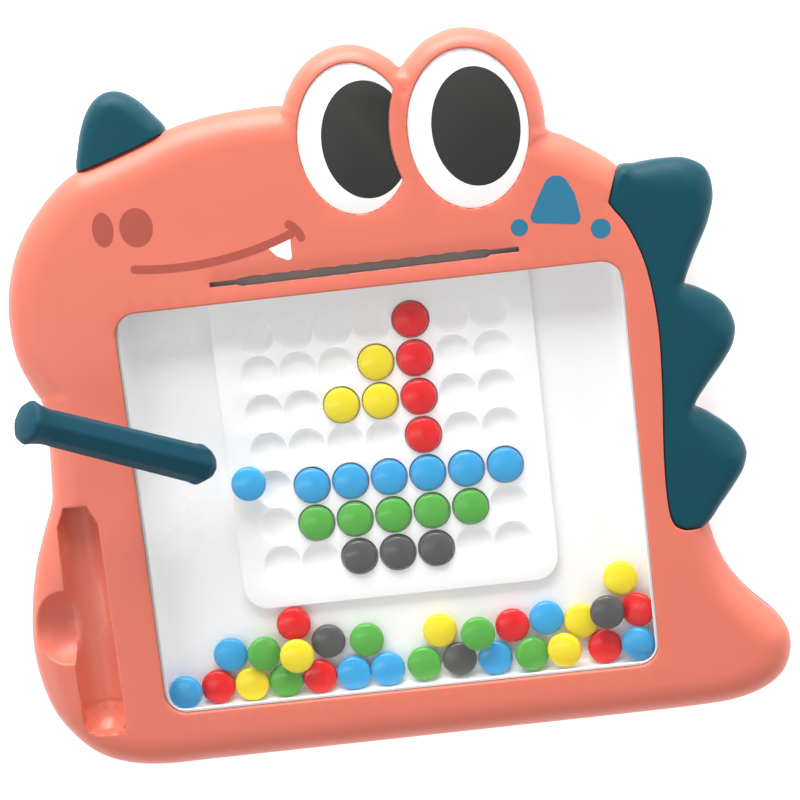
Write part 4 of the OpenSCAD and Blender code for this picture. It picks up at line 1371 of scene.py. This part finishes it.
@dataclass
class Beads:
    """Every bead: a round disc with low domes on both faces and a round rim."""

    radius: float = 6.7
    thick: float = 5.4
    rim: float = 1.6
    dome: float = 18.0
    pitch: float = 15.0
    seat_z: float = PLATE_Z + 0.4
    dragged_at: tuple[float, float, float] = (-53.8, -10.8, PANE_Z - 3.0)

    def shape(self) -> tuple[np.ndarray, list[np.ndarray]]:
        """One bead round the origin.

        The dome's height is h/2 - R + sqrt(R^2 - x^2) out to where the rim's round
        begins, and the rim is an arc of its own radius that meets the dome at its slope,
        which it does at x = (radius - rim) / (1 - rim/R).

        Returns:
            The vertices and faces.
        """
        middle = self.radius - self.rim
        mid = middle / (1 - self.rim / self.dome)
        x = np.linspace(0.35, mid, 9)
        dome = self.thick / 2 - self.dome + np.sqrt(self.dome ** 2 - x ** 2)
        meets = math.acos(mid / self.dome)
        side = dome[-1] - self.rim * math.sin(meets)
        a = np.linspace(meets, 0, 10)[1:]
        edge_r, edge_z = middle + self.rim * np.cos(a), side + self.rim * np.sin(a)
        r = np.concatenate([x, edge_r])
        z = np.concatenate([dome, edge_z])
        radii = np.concatenate([r, r[::-1]])
        heights = np.concatenate([[-self.thick / 2], -z, z[::-1], [self.thick / 2]])
        return lathe_grid(radii, heights, 56)

    def group(self, name: str, node: str, places: Sequence[Sequence[float]],
              colour: BeadColour, body: str) -> bpy.types.Object:
        """Builds the beads of one node.

        Args:
            name: The piece's name.
            node: The CAD node that it stands for.
            places: x, y, z, tilt about X and tilt about Y of each bead.
            colour: The beads' colour.
            body: The body that they ride on.

        Returns:
            The piece.
        """
        points, faces = self.shape()
        blocks, groups = [], [[] for _ in faces]
        for k, (x, y, z, tip_x, tip_y) in enumerate(places):
            turn = (Matrix.Rotation(math.radians(tip_y), 3, "Y")
                    @ Matrix.Rotation(math.radians(tip_x), 3, "X"))
            blocks.append(points @ np.array(turn).T + [x, y, z])
            for kept, block in zip(groups, faces):
                kept.append(block + k * len(points))
        slot = "bead_" + colour.name.lower()
        return new_piece(name, np.vstack(blocks), [np.vstack(g) for g in groups],
                         (colour.value,), body, (node,), sharp_deg=60)

    def build(self) -> None:
        """Builds the seated beads, the dragged one and the loose ones."""
        for body, node in sorted((b, n) for b, nodes in self.seated_nodes() for n in nodes):
            colour = BeadColour[node.split("_")[0].upper()]
            row, column = int(node[-3]), int(node[-1])
            self.group(node + "_disc", node, [((column - 4) * self.pitch,
                                               (4 - row) * self.pitch, self.seat_z, 0, 0)],
                       colour, body)
        self.group("dragged_bead_disc", "dragged_bead", [(*self.dragged_at, 0, 0)],
                   BeadColour.BLUE, "dragged_bead")
        for node, places in LOOSE.items():
            colour = BeadColour[node.split("_")[1].upper()]
            self.group(node + "_discs", node,
                       [(x, y, TRAY_Z + z, a, b) for x, y, z, a, b in places], colour,
                       "case")

    def seated_nodes(self) -> list[tuple[str, list[str]]]:
        """Bodies that are a seated bead, with their nodes."""
        bodies = frame["record"]["behaviour"]["bodies"]
        return [(b, nodes) for b, nodes in bodies.items() if "_bead_r" in b]


# ---- Studio ----


@dataclass
class Studio:
    """Camera, floor and soft lights round the board."""

    camera_at: tuple[float, float, float] = (35.678, 117.513, 768.99)
    turns_deg: tuple[float, float, float] = (-8.963, 2.168, -6.256)
    lens: float = 90.0
    horizon: float = 0.58
    zenith: float = 0.62
    hood: float = 0.25

    def camera(self) -> None:
        """Puts the camera nearly straight above the board."""
        x, y, z = (math.radians(a) for a in self.turns_deg)
        data = bpy.data.cameras.new("camera")
        data.lens, data.sensor_width, data.clip_end = self.lens, 36.0, 20.0
        eye = bpy.data.objects.new("camera", data)
        bpy.context.scene.collection.objects.link(eye)
        turn = (Matrix.Rotation(x, 3, "X") @ Matrix.Rotation(y, 3, "Y")
                @ Matrix.Rotation(z, 3, "Z"))
        eye.matrix_world = Matrix.Translation(Vector(self.camera_at) * MM) @ turn.to_4x4()
        bpy.context.scene.camera = eye

    def lamp(self, name: str, at: tuple[float, float, float], size: tuple[float, float],
             power: float, colour: str = "#FFFFFF") -> None:
        """Adds a soft box that faces the board's middle.

        Args:
            name: The lamp's name.
            at: Its place in metres.
            size: Its width and height in metres.
            power: Its power in watts.
            colour: Its colour.
        """
        data = bpy.data.lights.new(name, "AREA")
        data.shape, data.size, data.size_y = "RECTANGLE", *size
        data.energy, data.color = power, linear(colour)[:3]
        lamp = bpy.data.objects.new(name, data)
        bpy.context.scene.collection.objects.link(lamp)
        lamp.location = at
        lamp.rotation_mode = "QUATERNION"
        lamp.rotation_quaternion = (-Vector(at)).to_track_quat("-Z", "Y")

    def floor(self) -> None:
        """A plain white floor that glows a little, so that shadows on it stay faint."""
        mesh = bpy.data.meshes.new("floor")
        half = 6.0
        mesh.from_pydata([(-half, -half, 0), (half, -half, 0), (half, half, 0),
                          (-half, half, 0)], [], [(0, 1, 2, 3)])
        paper = bpy.data.materials.new("white_paper_sweep")
        paper.use_nodes = True
        tree = paper.node_tree
        tree.nodes.clear()
        where = add_node(tree, "ShaderNodeTexCoord").outputs["Object"]
        fibre = add_node(tree, "ShaderNodeTexNoise", {"Vector": where, "Scale": 1500.0})
        bump = add_node(tree, "ShaderNodeBump", {"Height": fibre.outputs["Fac"],
                                                 "Distance": 0.00002, "Strength": 0.3})
        sheet = add_node(tree, "ShaderNodeBsdfPrincipled", {
            "Base Color": linear("#F6F6F6"), "Roughness": 0.9,
            "Specular IOR Level": 0.1, "Emission Color": linear("#FFFFFF"),
            "Emission Strength": 0.55, "Normal": bump.outputs["Normal"]})
        add_node(tree, "ShaderNodeOutputMaterial", {"Surface": sheet.outputs["BSDF"]})
        mesh.materials.append(paper)
        floor = bpy.data.objects.new("floor", mesh)
        bpy.context.scene.collection.objects.link(floor)

    def build(self) -> None:
        """Sets the camera, the floor, the lamps and the sky."""
        self.camera()
        self.floor()
        self.lamp("top_softbox", (-0.2, 1.7, 0.8), (1.8, 0.9), 43.0)
        self.lamp("top_rim_strip", (0.0, 1.6, 0.2), (2.4, 0.1), 17.0, "#FFF1DC")
        self.lamp("left_strip", (-0.95, -0.15, 1.75), (0.14, 1.7), 4.0)
        self.lamp("left_low_softbox", (-1.6, -0.7, 0.6), (0.7, 0.9), 4.0)
        self.lamp("right_softbox", (1.6, 0.4, 0.7), (0.7, 0.9), 4.5)
        world = bpy.data.worlds.new("studio")
        world.use_nodes = True
        tree = world.node_tree
        tree.nodes.clear()
        where = add_node(tree, "ShaderNodeTexCoord").outputs["Generated"]
        up = add_node(tree, "ShaderNodeSeparateXYZ", {0: where}).outputs["Z"]
        glow = add_node(tree, "ShaderNodeMapRange", {
            "Value": up, "From Min": 0.2, "From Max": 0.95, "To Min": self.horizon,
            "To Max": self.zenith}, interpolation_type="SMOOTHSTEP")
        hood = add_node(tree, "ShaderNodeMapRange", {
            "Value": up, "From Min": 0.93, "From Max": 0.985, "To Min": 1.0,
            "To Max": self.hood}, interpolation_type="SMOOTHSTEP")
        hooded = add_node(tree, "ShaderNodeMath", {
            0: glow.outputs["Result"], 1: hood.outputs["Result"]}, operation="MULTIPLY")
        sky = add_node(tree, "ShaderNodeBackground", {
            "Color": linear("#FFFFFF"), "Strength": hooded.outputs[0]})
        add_node(tree, "ShaderNodeOutputWorld", {"Surface": sky.outputs["Background"]})
        scene = bpy.context.scene
        scene.world = world
        scene.view_settings.view_transform = "Standard"
        scene.view_settings.look = "None"


def dress_nodes() -> None:
    """Gives the CAD nodes that stay as they are their materials."""
    for node, finish in (("window", ClearPane()), ("back_screws", SCREW_STEEL),
                         ("pen_magnet", MAGNET_NICKEL)):
        mesh = frame["nodes"][node].data
        mesh.materials.clear()
        mesh.materials.append(finish.material())
        log.info("%s keeps its CAD mesh with %s", node, finish.name)


def main() -> None:
    """Builds the board piece by piece."""
    logging.basicConfig(level=logging.INFO, format="%(message)s")
    case = Case()
    case.front()
    case.back()
    Fins().build(case)
    inside = Inside()
    inside.tray()
    inside.dimple_plate()
    face = Face()
    face.eyes(case)
    face.prints()
    Pen().build()
    Beads().build()
    dress_nodes()
    Studio().build()


if __name__ == "__main__":
    main()
